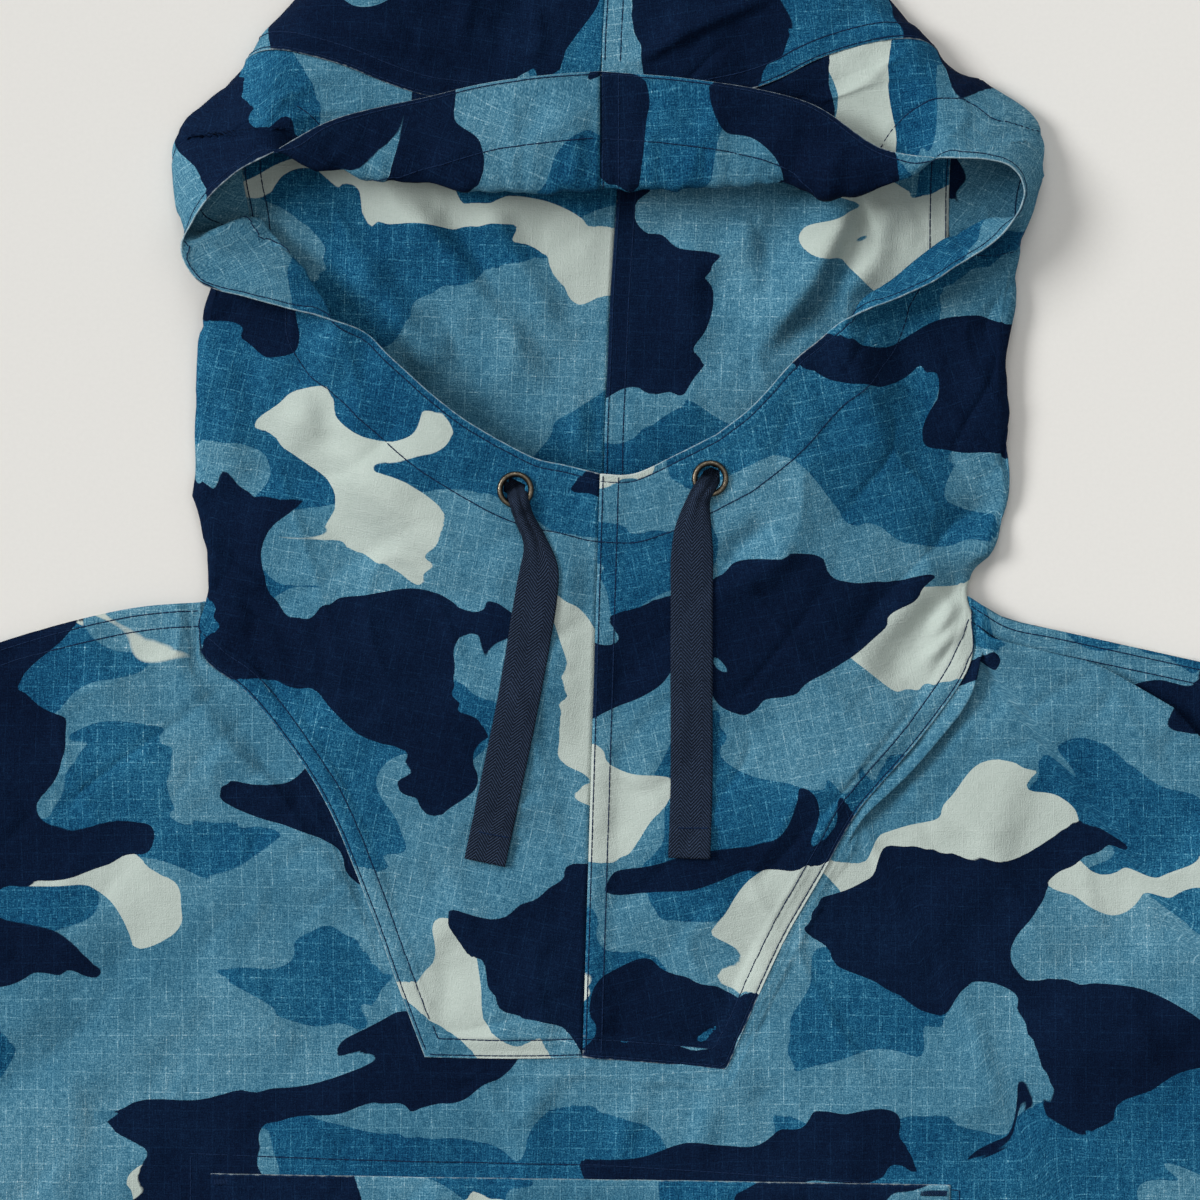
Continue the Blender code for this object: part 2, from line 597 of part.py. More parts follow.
def drawcord(name, route, height, eyelet_top, finish, parent):
    """A flat tape along the route, lying on the hood front."""
    line = smooth_curve([Vector((x, y, width)) for x, y, width in route], per_span=8)
    flat = [Vector((p.x, p.y, 0)) for p in line]
    total = lengths_along(flat)[-1]
    count = 17
    along = lengths_along(flat)
    places = np.linspace(0, total, count)
    centres = points_at(flat, places)
    widths = np.interp(places, along, [p.z for p in line])
    shape = bmesh.new()
    rings = []
    for i, (centre, width) in enumerate(zip(centres, widths)):
        ahead = centres[min(i + 1, count - 1)] - centres[max(i - 1, 0)]
        across = Vector((-ahead.y, ahead.x, 0)).normalized() * width / 2
        ring = []
        for side in (1, -1):
            edge = centre + across * side
            samples = [height(*(centre + across * side * part).xy) for part in (0.0, 0.5, 1.0)]
            low = max(samples) + SEAM_GAP
            if i < 4:
                low = max(low, eyelet_top + SEAM_GAP)
            ring += [Vector((edge.x, edge.y, low)), Vector((edge.x, edge.y, low + CORD_THICKNESS))]
        rings.append([shape.verts.new(placed(ring[k])) for k in (0, 1, 3, 2)])
    for low, high in zip(rings, rings[1:]):
        for i in range(4):
            j = (i + 1) % 4
            shape.faces.new((low[i], low[j], high[j], high[i]))
    shape.faces.new(rings[0])
    shape.faces.new(rings[-1][::-1])
    bmesh.ops.recalc_face_normals(shape, faces=shape.faces)
    mesh = bpy.data.meshes.new(name)
    shape.to_mesh(mesh)
    shape.free()
    return new_object(name, mesh, finish, parent)


def main():
    for old in list(bpy.data.objects):
        bpy.data.objects.remove(old)
    cloth = material("camouflage_cotton", DENIM, 0.9)
    tape = material("herringbone_tape", NAVY, 0.85)
    brass = material("antiqued_brass", BRASS, 0.4, 1.0)
    garment = bpy.data.objects.new("anorak", None)
    bpy.context.scene.collection.objects.link(garment)

    fronts = []
    tables = (("left", LEFT_SIDE_PANEL, LEFT_BACK_PANEL), ("right", RIGHT_SIDE_PANEL, RIGHT_BACK_PANEL))
    for side, panel, back in tables:
        fronts.append(cloth_panel("hood_front_" + side, side_panel_grid(panel), cloth, garment))
        cloth_panel("hood_back_" + side, back_panel_grid(back, panel), cloth, garment)
    cloth_panel("body_front", body_front_grid(), cloth, garment)
    cloth_panel("body_back", body_back_grid(), cloth, garment)
    for side, sign in (("left", -1), ("right", 1)):
        cloth_panel("sleeve_" + side, sleeve_grid(sign), cloth, garment, ring=True)
    pocket_welt(cloth, garment)

    height = surface_finder(*fronts)
    for side, route in (("left", LEFT_CORD), ("right", RIGHT_CORD)):
        x, y = route[0][:2]
        ring = eyelet("eyelet_" + side, x, y, height, brass, garment)
        top = ring.location.z / MM + EYELET_HEIGHT
        drawcord("drawcord_" + side, route, height, top, tape, garment)


main()
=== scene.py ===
"""A hooded pullover anorak in camouflage ripstop cotton, laid flat on its back, dressed for show.

Everything is in millimetres measured from the neck until the last step of each piece: x = 0 on the
centre front, +X to the right as seen from above, +Y towards the crown of the hood, z = 0 on the
surface that the garment lies on. to_world() turns that into metres in the frame of the solids.
"""

from __future__ import annotations

import json
import logging
import math
from dataclasses import dataclass, field
from enum import Enum, IntEnum
from functools import partial
from typing import Callable, Optional, Sequence

import bpy
import numpy as np
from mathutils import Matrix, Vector
from mathutils.bvhtree import BVHTree


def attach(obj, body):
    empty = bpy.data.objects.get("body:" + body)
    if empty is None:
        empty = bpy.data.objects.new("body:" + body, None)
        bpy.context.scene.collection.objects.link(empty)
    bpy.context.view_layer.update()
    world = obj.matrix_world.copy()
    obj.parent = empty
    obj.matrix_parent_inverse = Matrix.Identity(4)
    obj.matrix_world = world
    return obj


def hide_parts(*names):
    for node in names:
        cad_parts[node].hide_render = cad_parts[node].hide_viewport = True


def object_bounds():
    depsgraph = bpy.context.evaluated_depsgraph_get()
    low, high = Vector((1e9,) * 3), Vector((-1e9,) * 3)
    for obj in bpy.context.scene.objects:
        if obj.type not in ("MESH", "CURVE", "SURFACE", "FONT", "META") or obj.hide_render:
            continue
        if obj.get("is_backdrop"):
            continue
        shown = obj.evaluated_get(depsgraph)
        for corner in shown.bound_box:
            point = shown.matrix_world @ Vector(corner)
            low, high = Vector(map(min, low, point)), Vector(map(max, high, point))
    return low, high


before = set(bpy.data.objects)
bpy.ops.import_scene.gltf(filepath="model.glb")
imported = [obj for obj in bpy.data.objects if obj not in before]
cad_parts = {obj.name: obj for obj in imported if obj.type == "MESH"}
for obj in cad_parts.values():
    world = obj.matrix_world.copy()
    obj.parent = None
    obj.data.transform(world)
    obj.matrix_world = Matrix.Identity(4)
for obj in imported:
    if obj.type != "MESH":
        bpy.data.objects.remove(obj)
CAD_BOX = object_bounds()

LOG = logging.getLogger("anorak")
MM = 0.001
MIDDLE_Y = -205.0  # the neck's distance from the middle of the outline, with its sign turned
HEM_Y = -700.0
CROWN_Y = 290.0
FLOOR = 0.6  # middle of a layer that lies on the surface
FRONT_LAYER = 2.6  # middle of the front where it lies on the back
HOOD_RISE = 22.0  # how far the neck rises over the flat front
FOLD_RADIUS = 2.2  # where the hood's edge turns over
SIDE_RADIUS = 4.5  # where the hood wraps round its side
UPPER_LAYER = 6.0  # cloth above this height is never the layer on the surface
EDGE_BAND = 6.0  # strip along an edge that isn't turned over
SIDE_BAND = 12.0  # strip along a seam that the side doesn't wrap to
BEND = 2.6  # half the width of the finely divided strip at a bend
FIRST_PLACES = (0, 0.3, 0.6, 0.95, 1.4, 1.95)  # a section's points nearest its rim
LAST_PLACES = (2.6, 1.9, 1.3, 0.8, 0.4, 0)  # and nearest its seam
CREST_STEPS = (0.2, 0.45, 0.7)
FRONT_STEPS = (0.1, 0.25, 0.4, 0.55, 0.7, 0.85)
CLOTH_WALL = 0.5  # ripstop cotton with its finish
WELT_WALL = 0.7  # the same, turned in all round
CASING = 24.0  # width of the hood's edge casing
RIM_STITCH = 2.4  # from the hood's edge to its row of stitches
NEEDLE_EDGE = 1.1  # from a folded edge to the first row of stitches
NEEDLE_GAP = 5.6  # between the two rows of a twin-stitched seam
LAP = 0.55  # how far the upper panel of a lapped seam stands over the lower

TWIN_ROWS = (NEEDLE_EDGE, NEEDLE_EDGE + NEEDLE_GAP)
HEM_ROWS = (1.8, 20.0)  # from the hem to its rows of stitches; the turning is as wide as the second
ARMHOLE_ROWS = (2.0, 7.6)
SHOULDER_ROWS = (3.0, 8.6)
CUFF_ROWS = (2.0, 22.0)

Array = np.ndarray
Material = bpy.types.Material
Object = bpy.types.Object
Socket = bpy.types.NodeSocket
Tree = bpy.types.NodeTree
Adder = Callable[..., Socket]
Place = tuple[float, float]
Triple = tuple[float, float, float]
Row = tuple
Table = Sequence[Row]
Path = Sequence[Sequence[float]]


class Side(Enum):
    """The two sides as seen from above, with the sign of x on each."""

    LEFT = -1
    RIGHT = 1

    @property
    def label(self) -> str:
        """Lower-case name for pieces."""
        return self.name.lower()


# Rows of the hood's side panels, from the centre front round the opening's edge to the centre top:
# rim, fold where the edge turns over or None, side where the cloth wraps under or None, and seam. A
# height of None is read from front_height.
RIM, FOLD, SIDE, SEAM = 0, 1, 2, 3
LEFT_SIDE_PANEL: Table = [
    ((0, 47, None), None, None, (-6.3, -162.7, None)),
    ((-12, 50, None), None, None, (-23, -163, None)),
    ((-23, 52.5, None), None, None, (-43, -163, None)),
    ((-37, 59.5, None), None, None, (-63, -162.5, None)),
    ((-48.5, 66.5, None), None, None, (-72, -138.5, None)),
    ((-59.5, 75, None), None, None, (-84, -105.5, None)),
    ((-69, 83.5, None), None, None, (-99, -70, None)),
    ((-76.5, 90.5, None), None, None, (-115, -45.5, None)),
    ((-84, 98, None), None, None, (-130.5, -27.5, None)),
    ((-92, 101, 24.5), None, None, (-142.5, -20.5, None)),
    ((-99, 103, 25), (-96.5, 106, 21.5), None, (-143.5, -10, None)),
    ((-107, 105, 25.5), (-100, 111.5, 18), None, (-143.5, 1, None)),
    ((-117, 107.5, 25.5), (-104.5, 118, 15), (-142, 21.5), (-121.5, -2.5, FLOOR)),
    ((-128.5, 110.5, 25), (-108.5, 123.5, 12.5), (-147, 45), (-121.5, 30.5, FLOOR)),
    ((-137, 112.5, 24), (-112, 128, 10), (-146.5, 74), (-122.5, 63, FLOOR)),
    ((-143, 115, 23), (-116, 131.5, 8), (-145, 98), (-123, 88, FLOOR)),
    ((-147, 119.5, 22), (-120, 136, 6.5), (-140, 116), (-123.5, 108, FLOOR)),
    ((-149, 123, 22), (-123.5, 141, 5.5), (-134, 130), (-124.5, 124, FLOOR)),
    ((-150, 127, 22), None, None, (-126, 140, FLOOR)),
    ((-150, 131, 21), None, (-147, 134), (-127, 146, FLOOR)),
    ((-147.5, 135, 20), None, (-152, 138), (-128.5, 151, FLOOR)),
    ((-144, 141, 21), None, (-153.5, 147.5), (-129, 160, FLOOR)),
    ((-140, 146, 23), None, (-154.5, 158.5), (-129, 170.5, FLOOR)),
    ((-135, 151, 24.5), None, (-155, 168), (-128.5, 180.5, FLOOR)),
    ((-129, 155.5, 26), None, (-148.5, 177.5), (-127.5, 189.5, FLOOR)),
    ((-124, 158, 26.5), None, None, (-126.5, 197.5, 7)),
    ((-119, 160.5, 27), None, None, (-117, 199.5, 13)),
    ((-111, 165, 27), (-109, 159, 25), None, (-107, 197.5, 14.5)),
    ((-97, 173, 27), (-96, 156, 22), None, (-92, 193.5, 15)),
    ((-80, 177.5, 26), (-79, 152.5, 20), None, (-81.5, 189, 15)),
    ((-63, 181, 26), (-63, 151, 20), None, (-65, 183, 15.5)),
    ((-43, 186, 26), (-43, 149, 20), None, (-47, 180.5, 16)),
    ((-21.5, 189, 26), (-23.5, 147, 20), None, (-23.5, 178, 16)),
    ((0, 190.5, 26), (0, 148.5, 20), None, (0, 177.5, 16)),
]
RIGHT_SIDE_PANEL: Table = [
    ((0, 47, None), None, None, (-6.3, -162.7, None)),
    ((12, 47, None), None, None, (11, -164, None)),
    ((27.5, 54, None), None, None, (29, -165.5, None)),
    ((41.5, 61, None), None, None, (45.5, -167, None)),
    ((52, 69, None), None, None, (54.5, -146, None)),
    ((59.5, 76.5, None), None, None, (66.5, -120, None)),
    ((66, 84, None), None, None, (79, -98, None)),
    ((72, 90, None), None, None, (93.5, -72.5, None)),
    ((78.5, 95, None), None, None, (111.5, -52, None)),
    ((87, 102, 24.5), None, None, (134, -20, None)),
    ((94, 105, 25), (91.5, 108, 21.5), None, (133, -7, None)),
    ((101.5, 108, 25.5), (98, 113, 18.5), None, (132.5, 3, None)),
    ((110, 111.5, 25.5), (105.5, 118.5, 16), (140.5, 18), (119, 2, FLOOR)),
    ((119.5, 115.5, 25.5), (113, 124, 14), (148.5, 38), (120.5, 30.5, FLOOR)),
    ((126.5, 120.5, 25), (119.5, 129, 13), (148, 59.5), (122.5, 59.5, FLOOR)),
    ((133, 124.5, 24), (125, 133, 12), (147, 85), (123.5, 82, FLOOR)),
    ((141.5, 130, 23), (134, 137, 12), (147.5, 108), (124.5, 103, FLOOR)),
    ((146, 134.5, 22.5), (141.5, 139.5, 15), (149, 122), (125, 119, FLOOR)),
    ((149, 139, 22), None, (151, 134), (125.5, 131.5, FLOOR)),
    ((152, 144, 21), None, (154.5, 144), (125.5, 140.5, FLOOR)),
    ((152.5, 149.5, 21), None, (157, 150.5), (125.5, 149.5, FLOOR)),
    ((150, 155.5, 22), None, (159, 158.5), (126, 158.5, FLOOR)),
    ((146, 157.5, 23.5), None, (160, 165.5), (126.5, 167.5, FLOOR)),
    ((141.5, 159, 25), None, (157, 173), (127.5, 177.5, FLOOR)),
    ((135.5, 159.5, 26), None, (146, 182), (125.5, 187, FLOOR)),
    ((129.5, 159.5, 26.5), None, None, (120.5, 201, 7)),
    ((124, 159.7, 27), None, None, (113.5, 203, 13)),
    ((115, 160, 27), (114.5, 154.5, 25), None, (102.5, 202.5, 14.5)),
    ((106, 161.5, 27), (104.5, 150.5, 23), None, (88, 199, 15)),
    ((97, 164, 26.5), (95.5, 149, 21), None, (77.5, 195.5, 15)),
    ((80.5, 177, 26), (80, 149.5, 20), None, (68.5, 190.5, 15.5)),
    ((62, 183, 26), (61, 151, 20), None, (57, 185.5, 16)),
    ((31, 188, 26), (31, 151, 20), None, (31, 180, 16)),
    ((0, 190.5, 26), (0, 148.5, 20), None, (0, 177.5, 16)),
]
CORNER_ROW = 3  # the bottom corner of the chest inset
INSET_ROWS = 12  # rows whose seam joins the body front
EVEN_ROW = 7  # from here on the rows are evened out
NOTCH_ROW = 9  # where the inset's twin stitching ends
CREASED_ROW = 20  # the last that the front's creases reach
TOP_ROW = 25  # where the edge runs over the crown
FIRST_CORONAL_ROW = 12
LAST_CORONAL_ROW = 31
TIP_ROWS = 7  # fine rows of a back panel above its last table row

# Rows of the hood's back panels: x, y of two middle points and of the centre seam. From the back
# neck, up the surface, over the crown and down to the coronal seam on top. Their heights are alike.
BACK_HEIGHTS = [(FLOOR,) * 3] * 13 + [(7.2, 7.5, 7.5), (13, 14, 14), (15, 16, 16)] + [(16,) * 3] * 4
LEFT_BACK_PANEL: Table = [
    ((-83, -8), (-43, -11.5), (1, -12.6)),
    ((-83, 27), (-43, 25), (1.3, 23)),
    ((-83, 62), (-43, 61), (1.6, 60)),
    ((-83, 92), (-43, 92), (3, 92)),
    ((-83, 110), (-43, 111), (3.8, 112)),
    ((-83, 125), (-43, 127), (4.9, 129)),
    ((-83, 138), (-43, 141), (5.9, 144)),
    ((-83, 148), (-43, 152), (6.6, 156)),
    ((-83, 160), (-43, 167), (7, 172)),
    ((-84, 173), (-44, 184), (7, 191)),
    ((-86, 189), (-45, 206), (6.5, 214)),
    ((-91, 207), (-49, 233), (6, 245)),
    ((-101, 221), (-57, 262), (5, 279)),
    ((-107, 218), (-61, 266), (4.5, CROWN_Y - FLOOR)),
    ((-103, 214), (-58, 259), (4, 280)),
    ((-88, 215), (-50, 245), (3, 262)),
    ((-74, 208), (-40, 225), (2.4, 238)),
    ((-64, 202), (-33, 212), (1.8, 219)),
    ((-50, 194), (-26, 200), (1, 204)),
    ((-31, 186), (-17, 188.5), (0.2, 191)),
]
RIGHT_BACK_PANEL: Table = [
    ((83, -8), (43, -11.5), (1, -12.6)),
    ((83, 27), (43, 25), (1.3, 23)),
    ((83, 60), (43, 60), (1.6, 60)),
    ((83, 89), (43, 91), (3, 92)),
    ((83, 107), (43, 110), (3.8, 112)),
    ((83, 122), (43, 126), (4.9, 129)),
    ((83, 134), (43, 140), (5.9, 144)),
    ((83, 145), (43, 151), (6.6, 156)),
    ((83, 157), (43, 166), (7, 172)),
    ((83, 171), (44, 183), (7, 191)),
    ((84, 187), (45, 205), (6.5, 214)),
    ((87, 205), (49, 232), (6, 245)),
    ((95, 223), (57, 262), (5, 279)),
    ((103, 219), (62, 266), (4.5, CROWN_Y - FLOOR)),
    ((98, 217), (59, 259), (4, 280)),
    ((86, 218), (50, 245), (3, 262)),
    ((72, 212), (40, 226), (2.4, 238)),
    ((61, 205), (33, 213), (1.8, 219)),
    ((51, 197), (26, 201), (1, 204)),
    ((38, 189.5), (19, 190.5), (0.6, 191)),
]

# Outer edge of the body for each row of a front half, from the hem's middle to the end of the shoulder.
BODY_EDGE: Path = [
    (-6, HEM_Y), (-40, HEM_Y), (-100, HEM_Y), (-170, HEM_Y), (-245, -699.5), (-311, -697),
    (-311, -585), (-310, -470), (-310, -360), (-309, -262), (-285.5, -146.5), (-262, -31),
]
SIDE_CORNER_ROW = 5
SHOULDER_LEFT: Path = [(-163.5, -0.5), (-180, -3.5), (-216, -13.5)]
SHOULDER_RIGHT: Path = [(146, -5), (164, -9), (216, -20.5)]

# Flat strips of the drawcord from eyelet to end: x, y, width of the folded or open tape.
CORD_ROUTES: dict[Side, Path] = {
    Side.LEFT: [
        (-31.2, 45.0, 6.6), (-30.2, 41.2, 6.8), (-27.4, 31.5, 6.6), (-23.5, 23, 8.0), (-21.8, 13, 13.6),
        (-22.6, 5, 15.0), (-28.4, -30, 15.0), (-35.3, -64, 15.0), (-41.4, -92.5, 15.0),
    ],
    Side.RIGHT: [
        (41.0, 48.8, 6.6), (39.4, 45.2, 6.8), (35.6, 39, 7.4), (33.4, 28, 12.6), (32.9, 18, 15.0),
        (32.8, 5, 15.0), (32.8, -30, 15.0), (32.8, -64, 15.0), (32.0, -90.8, 15.0),
    ],
}

# Sleeve sections from armhole to cuff: outer folded side, inner folded side, loft of the upper layer.
SLEEVE_RINGS: Table = [
    ((262.0, -31), (309.0, -262), 2.9),
    ((292, -54), (315.5, -279), 4.6),
    ((337, -92), (327, -318), 5.4),
    ((418, -185), (358, -398), 5.6),
    ((490, -297), (402, -474), 5.4),
    ((552, -404), (450, -541), 4.6),
    ((594, -490), (493, -580), 3.6),
    ((606.5, -518.5), (506.5, -591.5), 3.2),
]


@dataclass(frozen=True)
class Crease:
    """A soft ridge, or with a height below zero a trough, along a bent line on the cloth.

    path: x, y of its points. height and width: mm. steep: how much sharper the side on the left of
    the path is than the other.
    """

    path: Path
    height: float
    width: float
    steep: float = 1.0

    def lift(self, x: Array, y: Array) -> Array:
        """Height that the crease adds at each point.

        Args:
            x: Places across the garment.
            y: Places along the garment.

        Returns:
            Heights of the same shape.
        """
        away, side, part = distance_to_path(x, y, self.path)
        width = np.where(side > 0, self.width / self.steep, self.width)
        taper = ease(part / 0.25) * ease((1 - part) / 0.25)
        return self.height * (0.25 + 0.75 * taper) * np.exp(-((away / width) ** 2))


FRONT_CREASES = (
    Crease([(141, -34), (124, -54), (104, -78)], 2.2, 7.0),
    Crease([(-148, -31), (-125, -60), (-98, -95)], 1.3, 6.0),
    Crease([(-262, -120), (-225, -142), (-190, -160)], 2.0, 14.0),
    Crease([(262, -120), (225, -140), (185, -165)], 2.0, 14.0),
    Crease([(-150, -330), (-110, -370), (-60, -420)], 1.5, 16.0),
    Crease([(120, -400), (160, -450), (190, -520)], 1.5, 16.0),
)


def ease(value: Array) -> Array:
    """0 below 0, 1 above 1, with a soft rise between."""
    clamped = np.clip(value, 0.0, 1.0)
    return clamped * clamped * (3 - 2 * clamped)


def bump_at(distance: Array, place: float, width: float) -> Array:
    """A bell of height 1 round one distance."""
    return np.exp(-(((distance - place) / width) ** 2))


def distance_to_path(x: Array, y: Array, path: Path) -> tuple[Array, Array, Array]:
    """Distance of points from a bent line.

    Args:
        x: Places across the garment.
        y: Places along the garment.
        path: The line's points.

    Returns:
        The distance, the side (above 0 on the left of the line's direction) and the part of the
        line's length at the nearest place, each shaped like x.
    """
    points = np.asarray(path, float)
    spans = np.linalg.norm(np.diff(points, axis=0), axis=1)
    starts = np.concatenate([[0.0], np.cumsum(spans)])
    best = np.full(np.shape(x), np.inf)
    side = np.zeros(np.shape(x))
    part = np.zeros(np.shape(x))
    for (ax, ay), (bx, by), span, start in zip(points, points[1:], spans, starts):
        along = np.clip(((x - ax) * (bx - ax) + (y - ay) * (by - ay)) / span**2, 0, 1)
        off_x, off_y = x - ax - along * (bx - ax), y - ay - along * (by - ay)
        away = np.hypot(off_x, off_y)
        nearer = away < best
        best = np.where(nearer, away, best)
        side = np.where(nearer, (bx - ax) * off_y - (by - ay) * off_x, side)
        part = np.where(nearer, (start + along * span) / starts[-1], part)
    return best, side, part


def through(points: Array, knots: Array, places: Array) -> Array:
    """Smooth curve through points (Catmull-Rom on uneven knots).

    Args:
        points: One row for each knot.
        knots: Rising values.
        places: Where the curve is wanted, on the scale of the knots.

    Returns:
        One row for each place.
    """
    steps = np.diff(knots)[:, None]
    slopes = np.diff(points, axis=0) / steps
    tangents = np.concatenate([slopes[:1], slopes[-1:]]) if len(points) == 2 else None
    if tangents is None:
        share = steps[1:] / (steps[:-1] + steps[1:])
        inner = slopes[:-1] * share + slopes[1:] * (1 - share)
        tangents = np.concatenate([slopes[:1], inner, slopes[-1:]])
    span = np.clip(np.searchsorted(knots, places, side="right") - 1, 0, len(knots) - 2)
    step = steps[span]
    t = (np.asarray(places) - knots[span])[:, None] / step
    low, high = points[span], points[span + 1]
    rise, fall = tangents[span] * step, tangents[span + 1] * step
    return (
        low * (2 * t**3 - 3 * t**2 + 1)
        + rise * (t**3 - 2 * t**2 + t)
        + high * (3 * t**2 - 2 * t**3)
        + fall * (t**3 - t**2)
    )


def smooth_line(points: Sequence, per_span: int = 14) -> Array:
    """Dense centripetal curve through a few points.

    Args:
        points: The points, in order.
        per_span: How many places lie between one and the next.

    Returns:
        The curve's places.
    """
    places = np.asarray(points, float)
    gaps = np.linalg.norm(np.diff(places, axis=0), axis=1)
    knots = np.concatenate([[0.0], np.cumsum(np.sqrt(np.maximum(gaps, 1e-6)))])
    wanted = [np.linspace(a, b, per_span, endpoint=False) for a, b in zip(knots, knots[1:])]
    return through(places, knots, np.concatenate(wanted + [knots[-1:]]))


def lengths(line: Array, axis: int = 0) -> Array:
    """Distance along a line, or along the lines of a grid, from its start.

    Args:
        line: Places on the line, or a grid of them.
        axis: The way that the lines of the grid run.

    Returns:
        The distance of each place.
    """
    spans = np.linalg.norm(np.diff(line, axis=axis), axis=-1)
    first = np.zeros_like(np.take(spans, [0], axis=axis))
    return np.concatenate([first, np.cumsum(spans, axis=axis)], axis=axis)


def read_at(values: Array, along: Array, places: Array) -> Array:
    """Values known at distances along a line, read at other distances."""
    return np.stack([np.interp(places, along, values[:, k]) for k in range(values.shape[1])], axis=1)


def at_lengths(line: Array, places: Array) -> Array:
    """Points of a dense line at distances along it."""
    return read_at(line, lengths(line), places)


def units(vectors: Array) -> Array:
    """Each vector with length 1."""
    return vectors / np.maximum(np.linalg.norm(vectors, axis=-1, keepdims=True), 1e-9)


def unit(vector: Array) -> Array:
    """The vector with length 1."""
    return vector / max(float(np.linalg.norm(vector)), 1e-9)


def front_height(x: Array, y: Array) -> Array:
    """Height of the middle of the front layer: flat on the back, rising to the hood's edge.

    Args:
        x: Places across the garment.
        y: Places along the garment.

    Returns:
        Heights of the same shape.
    """
    rise = HOOD_RISE * ease((y + 200) / 310)
    across = 1 - 0.8 * ease((np.abs(x) - 50) / 110)
    fade = 1 - ease((np.abs(x) - 160) / 90)
    return FRONT_LAYER + rise * across * fade


def lattice_noise(x: Array, y: Array, seed: int) -> Array:
    """Smooth noise from -1 to 1 with one lump for each unit.

    Args:
        x: Places across, in lumps.
        y: Places along, in lumps.
        seed: Picks one of many fields.

    Returns:
        Noise shaped like x.
    """
    size = 64
    values = np.random.RandomState(seed).uniform(-1, 1, (size, size))
    column, row = np.floor(x).astype(int), np.floor(y).astype(int)
    u, v = ease(x - column), ease(y - row)
    low = values[row % size, column % size] * (1 - u) + values[row % size, (column + 1) % size] * u
    high_row = (row + 1) % size
    high = values[high_row, column % size] * (1 - u) + values[high_row, (column + 1) % size] * u
    return low * (1 - v) + high * v


@dataclass(frozen=True)
class Crumple:
    """Unevenness of washed cotton: lumps of a size across and along, with a height.

    sharp: whether the cloth lies smooth between narrow, branching crease lines instead.
    """

    across: float
    along: float
    height: float
    turn: float = 0.0
    seed: int = 1
    sharp: bool = False

    def lift(self, u: Array, v: Array) -> Array:
        """Height that the lumps add at each point.

        Args:
            u: Places across the flat cloth.
            v: Places along it.

        Returns:
            Heights of the same shape.
        """
        cos, sin = math.cos(math.radians(self.turn)), math.sin(math.radians(self.turn))
        across, along = (u * cos - v * sin) / self.across, (u * sin + v * cos) / self.along
        lumps = lattice_noise(across + 7.3, along + 3.1, self.seed)
        return self.height * ((1 - np.abs(lumps)) ** 5 - 0.2 if self.sharp else lumps)


WASHED_COTTON = (
    Crumple(58, 36, 2.3, 18, 11),
    Crumple(29, 17, 1.3, -31, 12),
    Crumple(13, 9, 0.5, 40, 13),
    Crumple(6.4, 5.2, 0.13, 8, 14),
    Crumple(48, 20, 1.5, 62, 15, sharp=True),
    Crumple(40, 17, -1.1, -38, 16, sharp=True),
)


def lifted(reliefs: Sequence[Crease | Crumple], x: Array, y: Array) -> Array:
    """Height that some creases or lumps add together at each point."""
    return sum(relief.lift(x, y) for relief in reliefs)


class Ripples(IntEnum):
    """Which field of ripples each row of stitches has."""

    RIM = 21
    CASING = 31
    SIDE_SEAM = 41
    CENTRE_FRONT = 51
    CORONAL_SEAM = 61
    CENTRE_BACK = 71
    NOTCH = 91
    HEM = 93
    SHOULDER = 95
    CUFF = 99
    ARMHOLE = 101
    WELT = 111


def pucker(distance: Array, along: Array, place: float, seed: int) -> Array:
    """Small ripples that thread tension draws across a row of stitches.

    Args:
        distance: Distance from the edge that the stitches follow.
        along: Distance along that edge.
        place: Distance of the stitches from the edge.
        seed: Picks the ripples.

    Returns:
        Heights shaped like distance.
    """
    ripples = lattice_noise(along / 3.6, np.full_like(along, 0.4), seed)
    ripples = ripples + 0.6 * lattice_noise(along / 7.9, distance / 14, seed + 1)
    return 0.34 * ripples * bump_at(distance, place, 4.2) - 0.2 * bump_at(distance, place, 0.75)


def twin_pucker(distance: Array, along: Array, seed: int) -> Array:
    """Ripples across both rows of a twin-stitched seam."""
    return sum(pucker(distance, along, row, seed + 2 * k) for k, row in enumerate(TWIN_ROWS))


def lapped(distance: Array) -> Array:
    """Height of the turned allowances along a lapped seam's upper edge."""
    return LAP * (1 - ease((distance - NEEDLE_EDGE - NEEDLE_GAP - 0.8) / 2.2))


def edge_wear(distance: Array) -> Array:
    """Where the dye has rubbed off along a lapped seam.

    Args:
        distance: Distance from the seam's folded edge.

    Returns:
        0 to 1, most on the edge and a little beside each row of stitches.
    """
    edge = 0.85 * (1 - ease((distance - 0.15) / 0.6))
    first, second = (bump_at(distance, row + 1.1, width) for row, width in zip(TWIN_ROWS, (0.5, 0.6)))
    return edge + 0.3 * first + 0.2 * second


